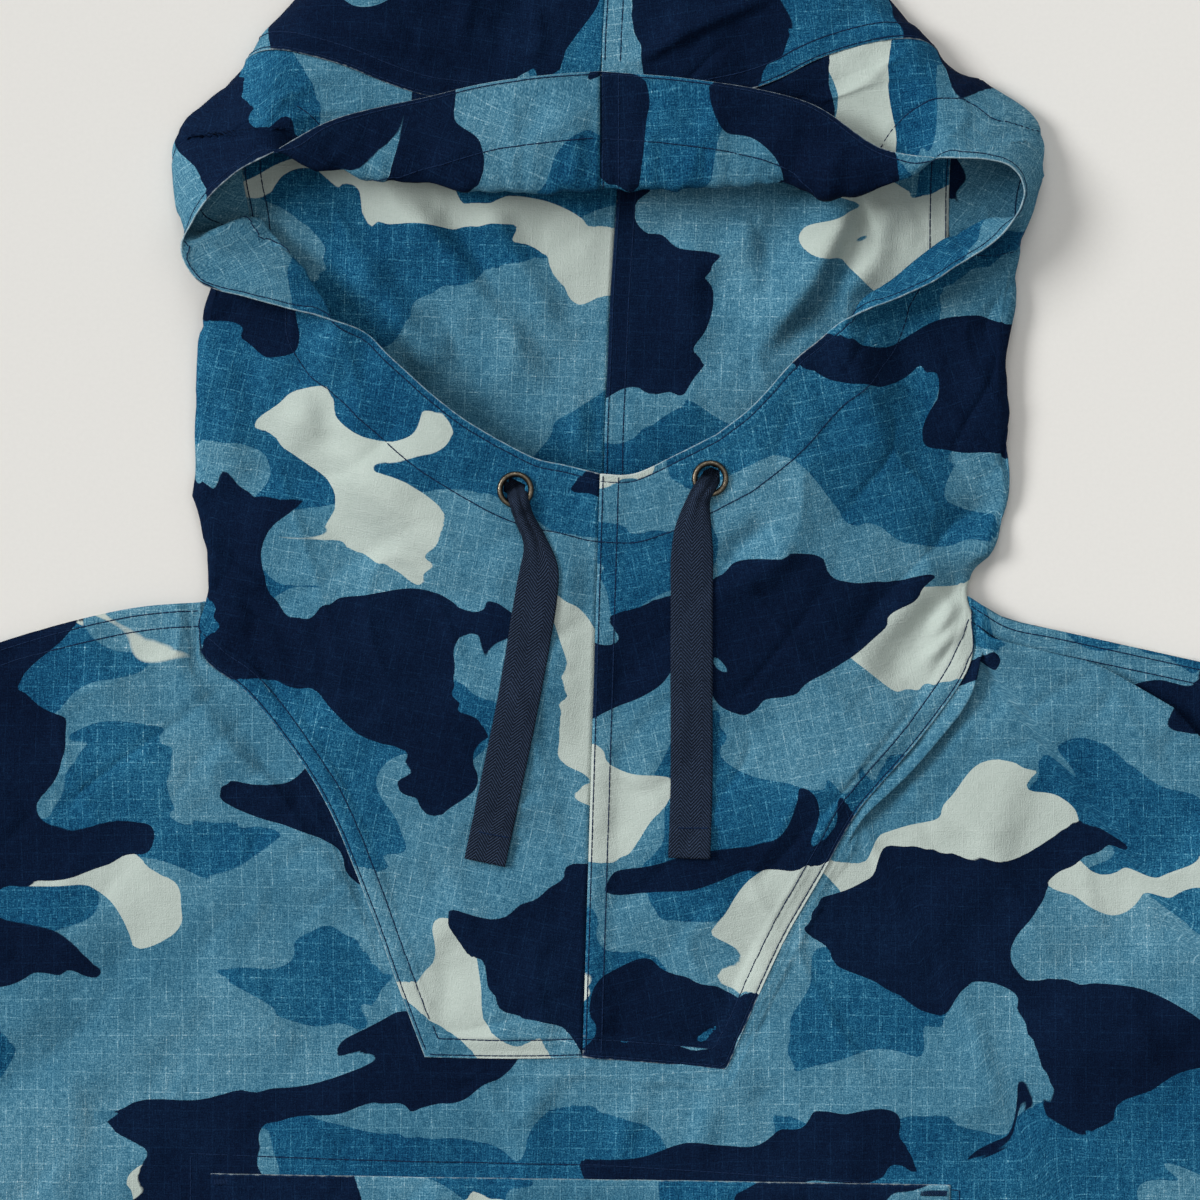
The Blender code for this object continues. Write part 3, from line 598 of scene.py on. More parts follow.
@dataclass
class RowScale:
    """How finely the rows of a table are divided, shared by panels that are sewn together.

    knots: place of each table row on the smooth curves. steps: fine rows in each span. corners:
    rows where the outline turns sharply.
    """

    knots: Array
    steps: list[int]
    corners: tuple[int, ...] = ()

    @classmethod
    def of(cls, controls: Array, step: float, corners: tuple[int, ...] = ()) -> "RowScale":
        """The scale for a grid of table rows.

        Args:
            controls: Table rows by columns of points.
            step: Mean distance wanted between fine rows.
            corners: Rows where the outline turns sharply.

        Returns:
            The scale.
        """
        gaps = np.linalg.norm(np.diff(controls, axis=0), axis=2).mean(axis=1)
        knots = np.concatenate([[0.0], np.cumsum(np.sqrt(gaps))])
        return cls(knots, [max(2, round(gap / step)) for gap in gaps], corners)

    def finer(self, first: int, factor: float) -> None:
        """Divides the spans from one on more finely."""
        self.steps[first:] = [round(count * factor) for count in self.steps[first:]]

    def index(self, row: int) -> int:
        """Fine row of a table row."""
        return sum(self.steps[:row])

    def spread(self, values: Array, first: int = 0) -> Array:
        """Values of table rows, turned into values of fine rows.

        Args:
            values: One entry for each table row from first on.
            first: Table row of the first entry.

        Returns:
            One entry for each fine row.
        """
        values = np.asarray(values, float)
        flat = values.reshape(len(values), -1)
        last = first + len(values) - 1
        cuts = [first] + [row for row in self.corners if first < row < last] + [last]
        pieces = []
        for a, b in zip(cuts, cuts[1:]):
            knots = self.knots[a : b + 1]
            counts = self.steps[a:b]
            spans = [np.linspace(*ends, n, endpoint=False) for *ends, n in zip(knots, knots[1:], counts)]
            pieces.append(through(flat[a - first : b - first + 1], knots, np.concatenate(spans)))
        pieces.append(flat[-1:])
        return np.concatenate(pieces).reshape(-1, *values.shape[1:])


def even_out(points: Array, reach: float) -> Array:
    """Smooths away the small steps between a grid's rows.

    Args:
        points: Rows by columns of points.
        reach: How many rows off a row still counts.

    Returns:
        The grid, with its first and last rows kept.
    """
    half = int(3 * reach)
    weights = np.exp(-0.5 * (np.arange(-half, half + 1) / reach) ** 2)
    weights /= weights.sum()
    before, after = 2 * points[:1] - points[half:0:-1], 2 * points[-1:] - points[-2 : -half - 2 : -1]
    padded = np.concatenate([before, points, after])
    return sum(w * padded[k : k + len(points)] for k, w in enumerate(weights))


def flat_pattern(points: Array, guess: Array, corner: int = 0, rounds: int = 90) -> Array:
    """The flat shape that a bent panel was cut to, as rigid as it can be.

    Args:
        points: Rows by columns of points on the bent panel.
        guess: A first flat layout, with no part folded over.
        corner: A row where the outline turns sharply, or 0.
        rounds: How often the layout is improved.

    Returns:
        Rows by columns of places on flat cloth.
    """
    rows = np.unique(np.round(np.linspace(0, len(points) - 1, 44)).astype(int))
    if corner:
        rows = np.union1d(rows[np.abs(rows - corner) > 3], corner + np.array([-3, -1, 0, 1, 3]))
    columns = np.unique(np.round(np.linspace(0, points.shape[1] - 1, 22)).astype(int))
    bent = points[np.ix_(rows, columns)].reshape(-1, 3)
    flat = guess[np.ix_(rows, columns)].reshape(-1, 2).copy()
    index = np.arange(len(bent)).reshape(len(rows), len(columns))
    a, b, c, d = index[:-1, :-1], index[:-1, 1:], index[1:, 1:], index[1:, :-1]
    corners = np.concatenate([np.stack(t, -1).reshape(-1, 3) for t in ((a, b, c), (a, c, d))])
    side = bent[corners[:, 1]] - bent[corners[:, 0]]
    other = bent[corners[:, 2]] - bent[corners[:, 0]]
    across = np.linalg.norm(side, axis=1)
    along = (side * other).sum(1) / across
    up = np.sqrt(np.maximum((other**2).sum(1) - along**2, 1e-6))
    rest = np.zeros((len(corners), 3, 2))
    rest[:, 1, 0], rest[:, 2, 0], rest[:, 2, 1] = across, along, up
    turned = flat[corners]
    first, second = turned[:, 1] - turned[:, 0], turned[:, 2] - turned[:, 0]
    if (first[:, 0] * second[:, 1] - first[:, 1] * second[:, 0]).sum() < 0:
        rest[:, :, 1] *= -1
    laplace = np.zeros((len(bent), len(bent)))
    edges = []
    for i, j, k in ((0, 1, 2), (1, 2, 0), (2, 0, 1)):
        p, q = rest[:, i] - rest[:, k], rest[:, j] - rest[:, k]
        weight = (p * q).sum(1) / np.maximum(np.abs(p[:, 0] * q[:, 1] - p[:, 1] * q[:, 0]), 1e-6)
        weight = np.clip(weight, 0.02, 30.0) / 2
        start, end = corners[:, i], corners[:, j]
        for r, s, sign in ((start, start, 1), (end, end, 1), (start, end, -1), (end, start, -1)):
            np.add.at(laplace, (r, s), sign * weight)
        edges.append((start, end, weight, rest[:, i] - rest[:, j]))
    laplace[0, 0] += 1.0
    solve = np.linalg.inv(laplace)
    for _ in range(rounds):
        shape = np.zeros((len(corners), 2, 2))
        for start, end, weight, span in edges:
            shape += weight[:, None, None] * span[:, :, None] * (flat[start] - flat[end])[:, None, :]
        angle = np.arctan2(shape[:, 0, 1] - shape[:, 1, 0], shape[:, 0, 0] + shape[:, 1, 1])
        cos, sin = np.cos(angle), np.sin(angle)
        pull = np.zeros_like(flat)
        for start, end, weight, span in edges:
            turned = np.stack([cos * span[:, 0] - sin * span[:, 1], sin * span[:, 0] + cos * span[:, 1]], 1)
            np.add.at(pull, start, weight[:, None] * turned)
            np.add.at(pull, end, -weight[:, None] * turned)
        pull[0] += flat[0]
        flat = solve @ pull
    coarse = flat.reshape(len(rows), len(columns), 2)
    tall = through(coarse.reshape(len(rows), -1), rows.astype(float), np.arange(len(points), dtype=float))
    tall = tall.reshape(len(points), len(columns), 2).transpose(1, 0, 2).reshape(len(columns), -1)
    wide = through(tall, columns.astype(float), np.arange(points.shape[1], dtype=float))
    return wide.reshape(points.shape[1], len(points), 2).transpose(1, 0, 2)


def from_edge(cloth: Array, edge: Array) -> tuple[Array, Array]:
    """How far places on flat cloth are from an edge of it.

    Args:
        cloth: Rows by columns of places.
        edge: The edge's points.

    Returns:
        The distance, and how far along the edge its nearest place is.
    """
    best = np.full(cloth.shape[:-1], np.inf)
    place = np.zeros(cloth.shape[:-1])
    for start, end, begin in zip(edge, edge[1:], lengths(edge)):
        span = end - start
        length = max(float(np.linalg.norm(span)), 1e-6)
        part = np.clip(((cloth - start) @ span) / length**2, 0, 1)
        away = np.linalg.norm(cloth - start - part[..., None] * span, axis=-1)
        nearer = away < best
        best = np.where(nearer, away, best)
        place = np.where(nearer, begin + part * length, place)
    return best, place


def turned_to(cloth: Array, start: tuple[int, int], end: tuple[int, int], angle: float,
              origin: Place) -> Array:
    """Turns and moves a flat layout on the cloth.

    Args:
        cloth: Rows by columns of places.
        start: Row and column where a line of the layout starts.
        end: Row and column where it ends.
        angle: The angle that the line is to have, in degrees.
        origin: The place where it is to start.

    Returns:
        The layout in its new place.
    """
    line = cloth[end] - cloth[start]
    turn = math.radians(angle) - math.atan2(line[1], line[0])
    cos, sin = math.cos(turn), math.sin(turn)
    x, y = (cloth - cloth[start]).transpose(2, 0, 1)
    return np.stack([origin[0] + cos * x - sin * y, origin[1] + sin * x + cos * y], axis=-1)


@dataclass
class Panel:
    """One cut piece as a grid of points with the cloth's own coordinates and its wear.

    points: rows by columns of places. cloth: places on the flat cloth. wear: 0 to 1, how far the
    indigo has rubbed off. outward: 1 where rows crossed with columns point out of the garment, else
    -1. ring: whether each row closes on itself. hole: x, y, radius punched through the cloth.
    """

    points: Array
    cloth: Array
    wear: Array
    outward: int = 1
    ring: bool = False
    hole: Optional[Triple] = None

    def cut(self) -> tuple[Place, float]:
        """Measures the flat piece.

        Returns:
            Width and length of the upright rectangle round it in metres, and its area in square metres.
        """
        flat = self.cloth * MM
        size = np.ptp(flat.reshape(-1, 2), axis=0)
        one, other = flat[1:, 1:] - flat[:-1, :-1], flat[1:, :-1] - flat[:-1, 1:]
        area = np.abs(one[..., 0] * other[..., 1] - one[..., 1] * other[..., 0]).sum() / 2
        return (round(float(size[0]), 3), round(float(size[1]), 3)), round(float(area), 4)

    def normals(self) -> Array:
        """Works out which way the cloth faces.

        Returns:
            A unit normal for each point, out of the garment.
        """
        across = np.gradient(self.points, axis=1)
        if self.ring:
            across = (np.roll(self.points, -1, axis=1) - np.roll(self.points, 1, axis=1)) / 2
        return units(self.outward * np.cross(np.gradient(self.points, axis=0), across))

    def lift(self, heights: Array) -> None:
        """Moves the points out of the garment along their normals."""
        self.points = self.points + self.normals() * heights[..., None]

    def keep_above(self, floor: float) -> None:
        """Lifts the points that lie lower than the floor onto it."""
        self.points[..., 2] = np.maximum(self.points[..., 2], floor)

    def at(self, row: float, column: float) -> tuple[Array, Array]:
        """Finds a place between the grid's rows and columns.

        Args:
            row: The place's row, with its part of the way to the next.
            column: The same for its column.

        Returns:
            The point and its normal.
        """
        i = min(int(row), len(self.points) - 2)
        j = min(int(column), self.points.shape[1] - 2)
        u, v = column - j, row - i
        (a, b), (c, d) = self.points[i : i + 2, j : j + 2]
        point = (a * (1 - u) + b * u) * (1 - v) + (c * (1 - u) + d * u) * v
        return point, unit(self.outward * np.cross(c - a, b - a))

    def from_side(self, axis: int, from_end: bool) -> Array:
        """Distance of each point from the first or last column (axis 1) or row (axis 0)."""
        along = lengths(self.points, axis=axis)
        return np.take(along, [-1], axis=axis) - along if from_end else along

    def row_line(self, away: Array, inset: float, from_end: bool, rows: slice) -> list[Place]:
        """Places at one distance from the edge that rows start or end on.

        Args:
            away: Distance of each point from that edge.
            inset: The distance wanted.
            from_end: Whether the edge is at the end of the rows.
            rows: The fine rows.

        Returns:
            (row, column) of each.
        """
        found = []
        last = away.shape[1] - 1
        for i in range(*rows.indices(len(away))):
            rising = np.maximum.accumulate(away[i, ::-1] if from_end else away[i])
            place = float(np.interp(inset, rising, np.arange(last + 1)))
            if rising[-1] > inset:
                found.append((float(i), last - place if from_end else place))
        return found

    def column_line(self, away: Array, inset: float, from_end: bool, columns: slice) -> list[Place]:
        """Places at one distance from the edge that columns start or end on."""
        return [(row, column) for column, row in self.row_line(away.T, inset, from_end, columns)]


def linear(hex_colour: str) -> tuple[float, ...]:
    """Linear colour of an sRGB hex value such as "#1b2433".

    Args:
        hex_colour: The value.

    Returns:
        Red, green, blue and a full alpha.
    """
    parts = [int(hex_colour[k : k + 2], 16) / 255 for k in (1, 3, 5)]
    turned = [c / 12.92 if c <= 0.04045 else ((c + 0.055) / 1.055) ** 2.4 for c in parts]
    return (*turned, 1.0)


def add_node(tree: Tree, kind: str, sockets: dict, output: int | str = 0, **settings) -> Socket:
    """Adds a node with its settings and links.

    Args:
        tree: The node tree.
        kind: Blender's type of the node, without its "ShaderNode".
        sockets: Input name or number to a value, or to the output socket that feeds it.
        output: Name or number of the output that is wanted.
        settings: Attributes of the node.

    Returns:
        That output.
    """
    node = tree.nodes.new("ShaderNode" + kind)
    for name, value in settings.items():
        setattr(node, name, value)
    for key, value in sockets.items():
        if isinstance(value, Socket):
            tree.links.new(value, node.inputs[key])
        else:
            node.inputs[key].default_value = value
    return node.outputs[output]


def new_shader(name: str, roughness: float, specular: float = 0.5,
               metallic: float = 0.0) -> tuple[Material, Adder, bpy.types.NodeInputs]:
    """Starts a finish.

    Args:
        name: The material's name.
        roughness: Of its surface.
        specular: Strength of its highlights, 0.5 for a plain glossy surface.
        metallic: 1 for a metal.

    Returns:
        The material, add_node for its tree and the inputs of its shader.
    """
    material = bpy.data.materials.new(name)
    material.use_nodes = True
    inputs = material.node_tree.nodes["Principled BSDF"].inputs
    inputs["Roughness"].default_value = roughness
    inputs["Specular IOR Level"].default_value = specular
    inputs["Metallic"].default_value = metallic
    return material, partial(add_node, material.node_tree), inputs


def link(output: Socket, socket: Socket) -> None:
    """Feeds an input of a shader."""
    socket.id_data.links.new(output, socket)


def cloth_place(add: Adder) -> Socket:
    """Places on the flat cloth, in mm."""
    metres = add("UVMap", {}, uv_map="cloth")
    return add("VectorMath", {0: metres, 1: (1000.0, 1000.0, 0.0)}, operation="MULTIPLY")


@dataclass(frozen=True)
class PrintTone:
    """One colour of the print: its place in the order of screens and how much cloth it covers.

    colour: sRGB. across and along: mean size of a patch. level: the share of the noise's range that
    the patch starts at, so a lower level covers more. shift: place of its own in the noise. heather:
    how much the yarn's unevenness shows in it.
    """

    colour: str
    across: float = 70.0
    along: float = 46.0
    level: float = 0.5
    shift: Triple = (0.0, 0.0, 0.0)
    heather: float = 1.0


@dataclass(frozen=True)
class CamouflageRipstop:
    """Plain-woven cotton ripstop, slub yarn, printed in indigo tones and washed.

    Slub yarn gives the eye a heathered, streaky ground; the doubled ripstop threads give a fine pale
    grid; the printed patches have firm, slightly woolly edges; washing leaves pale, rubbed folds. Less
    dye on a thread raises the cloth's reflectance by a power, which the Gamma node works out.

    finger, edge and wool: size and reach, in mm, of three waves that push the patches' edges about.
    lobe: size of the round lumps on those edges, with how far they reach and how softly they join.
    grid_x and grid_y: between the doubled threads. grid_line: half their width.
    """

    ground: str = "#185577"
    tones: tuple[PrintTone, ...] = (
        PrintTone("#487c94", 96, 60, 0.455, (3.1, 8.4, 0.0)),
        PrintTone("#b8c4bd", 92, 46, 0.64, (11.3, 1.7, 0.0), 0.22),
        PrintTone("#051731", 96, 46, 0.574, (6.6, 17.2, 0.0), 0.36),
    )
    rubbed: str = "#b9c8cb"
    finger_size: float = 44.0
    finger_reach: float = 27.0
    edge_size: float = 16.5
    edge_reach: float = 5.4
    wool_size: float = 1.3
    wool_reach: float = 0.16
    lobe: float = 18.0
    lobe_reach: float = 0.04
    lobe_blend: float = 0.5
    thread: float = 0.5  # real yarn is 0.3 mm; drawn this coarse so that it shows
    slub: float = 3.2  # mean length of a thick or thin place in the yarn
    grid_x: float = 5.6
    grid_y: float = 6.6
    grid_line: float = 0.3

    def material(self) -> Material:
        """Prints, weaves, fades and rubs the cloth.

        Returns:
            The material, which reads the UV map "cloth" and the attribute "wear".
        """
        material, add, shader = new_shader("camouflage_ripstop_cotton", 0.9, 0.08)
        place = cloth_place(add)
        printed, heather = self.printed(add, place)
        yarn, grid = self.weave(add, place)
        wear = add("Attribute", {}, "Fac", attribute_name="wear")
        threads = add("Math", {0: grid, 1: 0.3, 2: yarn}, operation="MULTIPLY_ADD")
        lost = add("Math", {0: threads, 1: heather}, operation="MULTIPLY")
        lost = add("Math", {0: wear, 1: 0.22, 2: lost}, operation="MULTIPLY_ADD")
        dye = add("Math", {0: 1.0, 1: lost}, operation="SUBTRACT")
        faded = add("Gamma", {"Color": printed, "Gamma": dye})
        patchy = self.noise(add, place, (2.2, 2.2), (5.0, 0.0, 0.0), 2.0)
        rub = add("Math", {0: patchy, 1: 0.7, 2: wear}, operation="MULTIPLY_ADD")
        rub = add("MapRange", {0: rub, 1: 1.0, 2: 1.4, 3: 0.0, 4: 0.6})
        colour = add("Mix", {0: rub, 6: faded, 7: linear(self.rubbed)}, 2, data_type="RGBA")
        link(colour, shader["Base Color"])
        lumps = self.noise(add, place, (8.5, 6.0), (1.0, 9.0, 0.0), 2.0)
        lumpy = add("Bump", {"Height": lumps, "Distance": 0.0011, "Strength": 0.34})
        fine = add("Bump", {"Height": threads, "Distance": 0.0004, "Strength": 0.4, "Normal": lumpy})
        link(fine, shader["Normal"])
        return material

    def noise(self, add: Adder, place: Socket, lump: Place, shift: Triple, detail: float = 0.0,
              output: str = "Fac") -> Socket:
        """Adds noise with lumps of a size.

        Args:
            add: Adds a node to the tree.
            place: Places on the cloth, in mm.
            lump: Size of a lump across and along the cloth, in mm.
            shift: Its own place in the endless noise.
            detail: How many finer layers it has.
            output: "Fac" for one value or "Color" for three.

        Returns:
            The noise.
        """
        across, along = lump
        factors = {0: place, 1: (1 / across, 1 / along, 0.0), 2: shift}
        scaled = add("VectorMath", factors, operation="MULTIPLY_ADD")
        sockets = {"Vector": scaled, "Scale": 1.0, "Detail": detail, "Roughness": 0.5}
        return add("TexNoise", sockets, output, noise_dimensions="2D")

    def bent(self, add: Adder, place: Socket, size: float, reach: float, shift: Triple) -> Socket:
        """Pushes places about, which draws fingers out of a patch's edge.

        Args:
            add: Adds a node to the tree.
            place: Places on the cloth, in mm.
            size: Of a finger, in mm.
            reach: How far it is drawn out, in mm.
            shift: Its own place in the endless noise.

        Returns:
            The new places.
        """
        push = self.noise(add, place, (size, size * 0.7), shift, 0.0, "Color")
        centred = add("VectorMath", {0: push, 1: (0.5, 0.5, 0.5)}, operation="SUBTRACT")
        factors = {0: centred, 1: (reach * 2, reach * 1.3, 0.0), 2: place}
        return add("VectorMath", factors, operation="MULTIPLY_ADD")

    def printed(self, add: Adder, place: Socket) -> tuple[Socket, Socket]:
        """Lays patches of each tone over the one before.

        Args:
            add: Adds a node to the tree.
            place: Places on the cloth, in mm.

        Returns:
            The print's colour and how much the yarn's unevenness shows in it.
        """
        colour, heather = linear(self.ground), 1.0
        for number, tone in enumerate(self.tones):
            own = (tone.shift[1] + number * 3.3, tone.shift[0], 0.0)
            wavy = self.bent(add, place, self.finger_size, self.finger_reach, own)
            wavy = self.bent(add, wavy, self.edge_size, self.edge_reach, (own[1], own[0] + 2.0, 0.0))
            wavy = self.bent(add, wavy, self.wool_size, self.wool_reach, (own[0], own[1] + 5.0, 0.0))
            patches = self.noise(add, wavy, (tone.across, tone.along), tone.shift, 0.6)
            factors = {0: wavy, 1: (1 / self.lobe, 1.3 / self.lobe, 0.0), 2: own}
            cells = add("VectorMath", factors, operation="MULTIPLY_ADD")
            sockets = {"Vector": cells, "Scale": 1.0, "Smoothness": self.lobe_blend}
            lobes = add("TexVoronoi", sockets, voronoi_dimensions="2D", feature="SMOOTH_F1")
            lobes = add("MapRange", {0: lobes, 1: 0.24, 2: 0.85, 3: 0.0, 4: -self.lobe_reach})
            patches = add("Math", {0: lobes, 1: patches}, operation="ADD")
            edge = {1: tone.level - 0.001, 2: tone.level + 0.001, 3: 0.0, 4: 1.0}
            mask = add("MapRange", {0: patches, **edge})
            colour = add("Mix", {0: mask, 6: colour, 7: linear(tone.colour)}, 2, data_type="RGBA")
            heather = add("Mix", {0: mask, 2: heather, 3: tone.heather})
        return colour, heather

    def weave(self, add: Adder, place: Socket) -> tuple[Socket, Socket]:
        """Spins slub yarn and weaves the ripstop grid.

        Args:
            add: Adds a node to the tree.
            place: Places on the cloth, in mm.

        Returns:
            How much dye the yarn lacks, from below 0 to above 0, and the grid from 0 to 1.
        """
        warp = self.noise(add, place, (self.thread, self.slub), (2.0, 0.3, 0.0), 1.0)
        weft = self.noise(add, place, (self.slub, self.thread), (0.7, 4.0, 0.0), 1.0)
        total = add("Math", {0: warp, 1: weft}, operation="ADD")
        speck = self.noise(add, place, (0.5, 0.5), (9.0, 2.0, 0.0), 0.5)
        fade = self.noise(add, place, (9.0, 16.0), (4.0, 6.0, 0.0), 2.0)
        washed = self.noise(add, place, (90.0, 70.0), (2.0, 6.0, 0.0), 1.0)
        for layer, weight in ((speck, 1.6), (fade, 0.5), (washed, 0.9)):
            total = add("Math", {0: layer, 1: weight, 2: total}, operation="MULTIPLY_ADD")
        yarn = add("MapRange", {0: total, 1: 1.8, 2: 3.2, 3: -0.42, 4: 0.36}, clamp=False)
        apart = add("SeparateXYZ", {0: self.bent(add, place, 80.0, 0.4, (8.0, 8.0, 0.0))}).node
        lines = []
        for axis, spacing, breaks in ((0, self.grid_x, (1.1, 9.0)), (1, self.grid_y, (9.0, 1.1))):
            sockets = {0: apart.outputs[axis], 1: spacing / 2}
            from_line = add("Math", sockets, operation="PINGPONG")
            edge = {1: self.grid_line, 2: self.grid_line * 0.3, 3: 0.0, 4: 1.0}
            line = add("MapRange", {0: from_line, **edge})
            broken = self.noise(add, place, breaks, (3.0 + axis, 7.0, 0.0), 2.0)
            strength = add("MapRange", {0: broken, 1: 0.32, 2: 0.62, 3: 0.22, 4: 1.0})
            lines.append(add("Math", {0: line, 1: strength}, operation="MULTIPLY"))
        return yarn, add("Math", {0: lines[0], 1: lines[1]}, operation="MAXIMUM")


@dataclass(frozen=True)
class HerringboneTape:
    """Cotton twill tape woven in a herringbone and dyed navy: fine slanting ribs that meet in chevrons, their
    crests painted lighter as a highlight.
    """

    colour: str = "#0b1422"
    # light: colour of the painted highlight on the ribs' crests
    light: str = "#3a4b66"
    rib: float = 1.3
    chevron: float = 7.5

    def material(self) -> Material:
        """Weaves the tape.

        Returns:
            The material, which reads the UV map "cloth".
        """
        material, add, shader = new_shader("herringbone_twill_tape", 0.82, 0.15)
        place = cloth_place(add)
        apart = add("SeparateXYZ", {0: place}).node
        zigzag = add("Math", {0: apart.outputs[0], 1: self.chevron / 2}, operation="PINGPONG")
        slant = add("Math", {0: zigzag, 1: 1.15, 2: apart.outputs[1]}, operation="MULTIPLY_ADD")
        rib = add("Math", {0: slant, 1: self.rib / 2}, operation="PINGPONG")
        height = add("MapRange", {0: rib, 1: 0.08, 2: self.rib / 2 - 0.08, 3: 0.0, 4: 1.0})
        scaled = add("VectorMath", {0: place, 1: (1.9, 1.9, 0.0)}, operation="MULTIPLY")
        speck = add("TexNoise", {"Vector": scaled, "Scale": 1.0, "Detail": 2.0}, noise_dimensions="2D")
        # painted highlight: the higher the rib, the more of the light colour, standing in for light catching
        # the crests
        shade = add("Math", {0: height, 1: speck}, operation="MULTIPLY")
        shade = add("MapRange", {0: shade, 1: 0.05, 2: 0.6})
        ends = {6: linear(self.colour), 7: linear(self.light)}
        link(add("Mix", {0: shade, **ends}, 2, data_type="RGBA"), shader["Base Color"])
        bump = add("Bump", {"Height": height, "Distance": 0.0004, "Strength": 1.0})
        link(bump, shader["Normal"])
        return material


@dataclass(frozen=True)
class AntiqueBrass:
    """Stamped brass, blackened and tumbled: dark in the hollows, dull gold where the roll is rubbed."""

    dark: str = "#24221f"
    rubbed: str = "#857b6a"

    def material(self) -> Material:
        """Blackens and tumbles the brass.

        Returns:
            The material, which reads the attribute "wear".
        """
        material, add, shader = new_shader("antiqued_brass", 0.42, metallic=1.0)
        wear = add("Attribute", {}, "Fac", attribute_name="wear")
        place = add("TexCoord", {}, "Object")
        mottle = add("TexNoise", {"Vector": place, "Scale": 900.0, "Detail": 3.0})
        amount = add("MapRange", {0: mottle, 1: 0.3, 2: 0.7, 3: 0.35, 4: 1.0})
        amount = add("Math", {0: amount, 1: wear}, operation="MULTIPLY")
        ends = {6: linear(self.dark), 7: linear(self.rubbed)}
        link(add("Mix", {0: amount, **ends}, 2, data_type="RGBA"), shader["Base Color"])
        rough = add("MapRange", {0: amount, 1: 0.0, 2: 1.0, 3: 0.55, 4: 0.32})
        link(rough, shader["Roughness"])
        bump = add("Bump", {"Height": mottle, "Distance": 0.00008, "Strength": 0.4})
        link(bump, shader["Normal"])
        return material


@dataclass(frozen=True)
class SewingThread:
    """Spun polyester core thread dyed navy: matt, with a faint twist."""

    colour: str = "#0a1830"
    light: str = "#1b3358"

    def material(self) -> Material:
        """Dyes and twists the thread.

        Returns:
            The material.
        """
        material, add, shader = new_shader("navy_sewing_thread", 0.8, 0.1)
        place = add("TexCoord", {}, "Object")
        twist = add("TexNoise", {"Vector": place, "Scale": 1600.0, "Detail": 1.0})
        ends = {6: linear(self.colour), 7: linear(self.light)}
        link(add("Mix", {0: twist, **ends}, 2, data_type="RGBA"), shader["Base Color"])
        return material


@dataclass(frozen=True)
class StudioPaper:
    """Matt background paper, warm white: gives a soft shadow and no reflection."""

    colour: str = "#e9e7e2"

    def material(self) -> Material:
        """Presses the paper's faint grain.

        Returns:
            The material.
        """
        material, add, shader = new_shader("studio_paper", 0.95, 0.1)
        place = add("TexCoord", {}, "Object")
        grain = add("TexNoise", {"Vector": place, "Scale": 700.0, "Detail": 2.0})
        shade = add("MapRange", {0: grain, 1: 0.3, 2: 0.7, 3: 0.99, 4: 1.01})
        colour = add("VectorMath", {0: linear(self.colour)[:3], "Scale": shade}, operation="SCALE")
        link(colour, shader["Base Color"])
        return material


def to_world(points: Array) -> Array:
    """Garment millimetres to metres in the frame of the solids."""
    return (points - np.array([0.0, MIDDLE_Y, 0.0])) * MM


def make_object(name: str, vertices: Array, faces: Array, material: Material,
                replaces: Sequence[str] = ()) -> Object:
    """A smooth mesh object that rides with the garment.

    Args:
        name: Its name.
        vertices: Places in metres.
        faces: Vertex numbers of each face, four to a face.
        material: Its finish.
        replaces: Solids that it is shown in place of.

    Returns:
        The object.
    """
    mesh = bpy.data.meshes.new(name)
    mesh.from_pydata(vertices.tolist(), [], faces.tolist())
    mesh.materials.append(material)
    mesh.shade_smooth()
    made = bpy.data.objects.new(name, mesh)
    bpy.context.scene.collection.objects.link(made)
    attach(made, "root")
    if replaces:
        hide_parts(*replaces)
    return made


def set_wear(made: Object, wear: Array) -> None:
    """Writes how rubbed each point is, where the finishes read it."""
    attribute = made.data.attributes.new("wear", "FLOAT", "POINT")
    attribute.data.foreach_set("value", wear.astype(np.float32).ravel())


def cloth_object(name: str, panel: Panel, material: Material, replaces: Sequence[str],
                 wall: float = CLOTH_WALL) -> Object:
    """A panel as a thin wall of cloth, with its cloth coordinates and wear.

    Args:
        name: The object's name.
        panel: The panel.
        material: Its finish.
        replaces: Solids that it is shown in place of.
        wall: Thickness of the cloth.

    Returns:
        The object.
    """
    rows, columns = panel.points.shape[:2]
    index = np.arange(rows * columns).reshape(rows, columns)
    right = np.roll(index, -1, axis=1) if panel.ring else index[:, 1:]
    left = index if panel.ring else index[:, :-1]
    faces = np.stack([left[:-1], right[:-1], right[1:], left[1:]], axis=-1).reshape(-1, 4)
    if panel.outward > 0:
        faces = faces[:, ::-1]
    if panel.hole:
        x, y, radius = panel.hole
        centres = panel.points.reshape(-1, 3)[faces].mean(axis=1)
        away = np.hypot(centres[:, 0] - x, centres[:, 1] - y)
        faces = faces[(away > radius) | (centres[:, 2] < UPPER_LAYER)]
    made = make_object(name, to_world(panel.points.reshape(-1, 3)), faces, material, replaces)
    mesh = made.data
    corners = np.empty(len(mesh.loops), np.int32)
    mesh.loops.foreach_get("vertex_index", corners)
    places = (panel.cloth.reshape(-1, 2) * MM)[corners]
    if panel.ring:
        places = unwrapped_ring(places, corners, panel)
    mesh.uv_layers.new(name="cloth").data.foreach_set("uv", places.astype(np.float32).ravel())
    set_wear(made, panel.wear)
    solid = made.modifiers.new("wall", "SOLIDIFY")
    solid.thickness = wall * MM
    solid.offset = 0.0
    LOG.info("%s: %d faces, cut %s", name, len(faces), panel.cut())
    return made


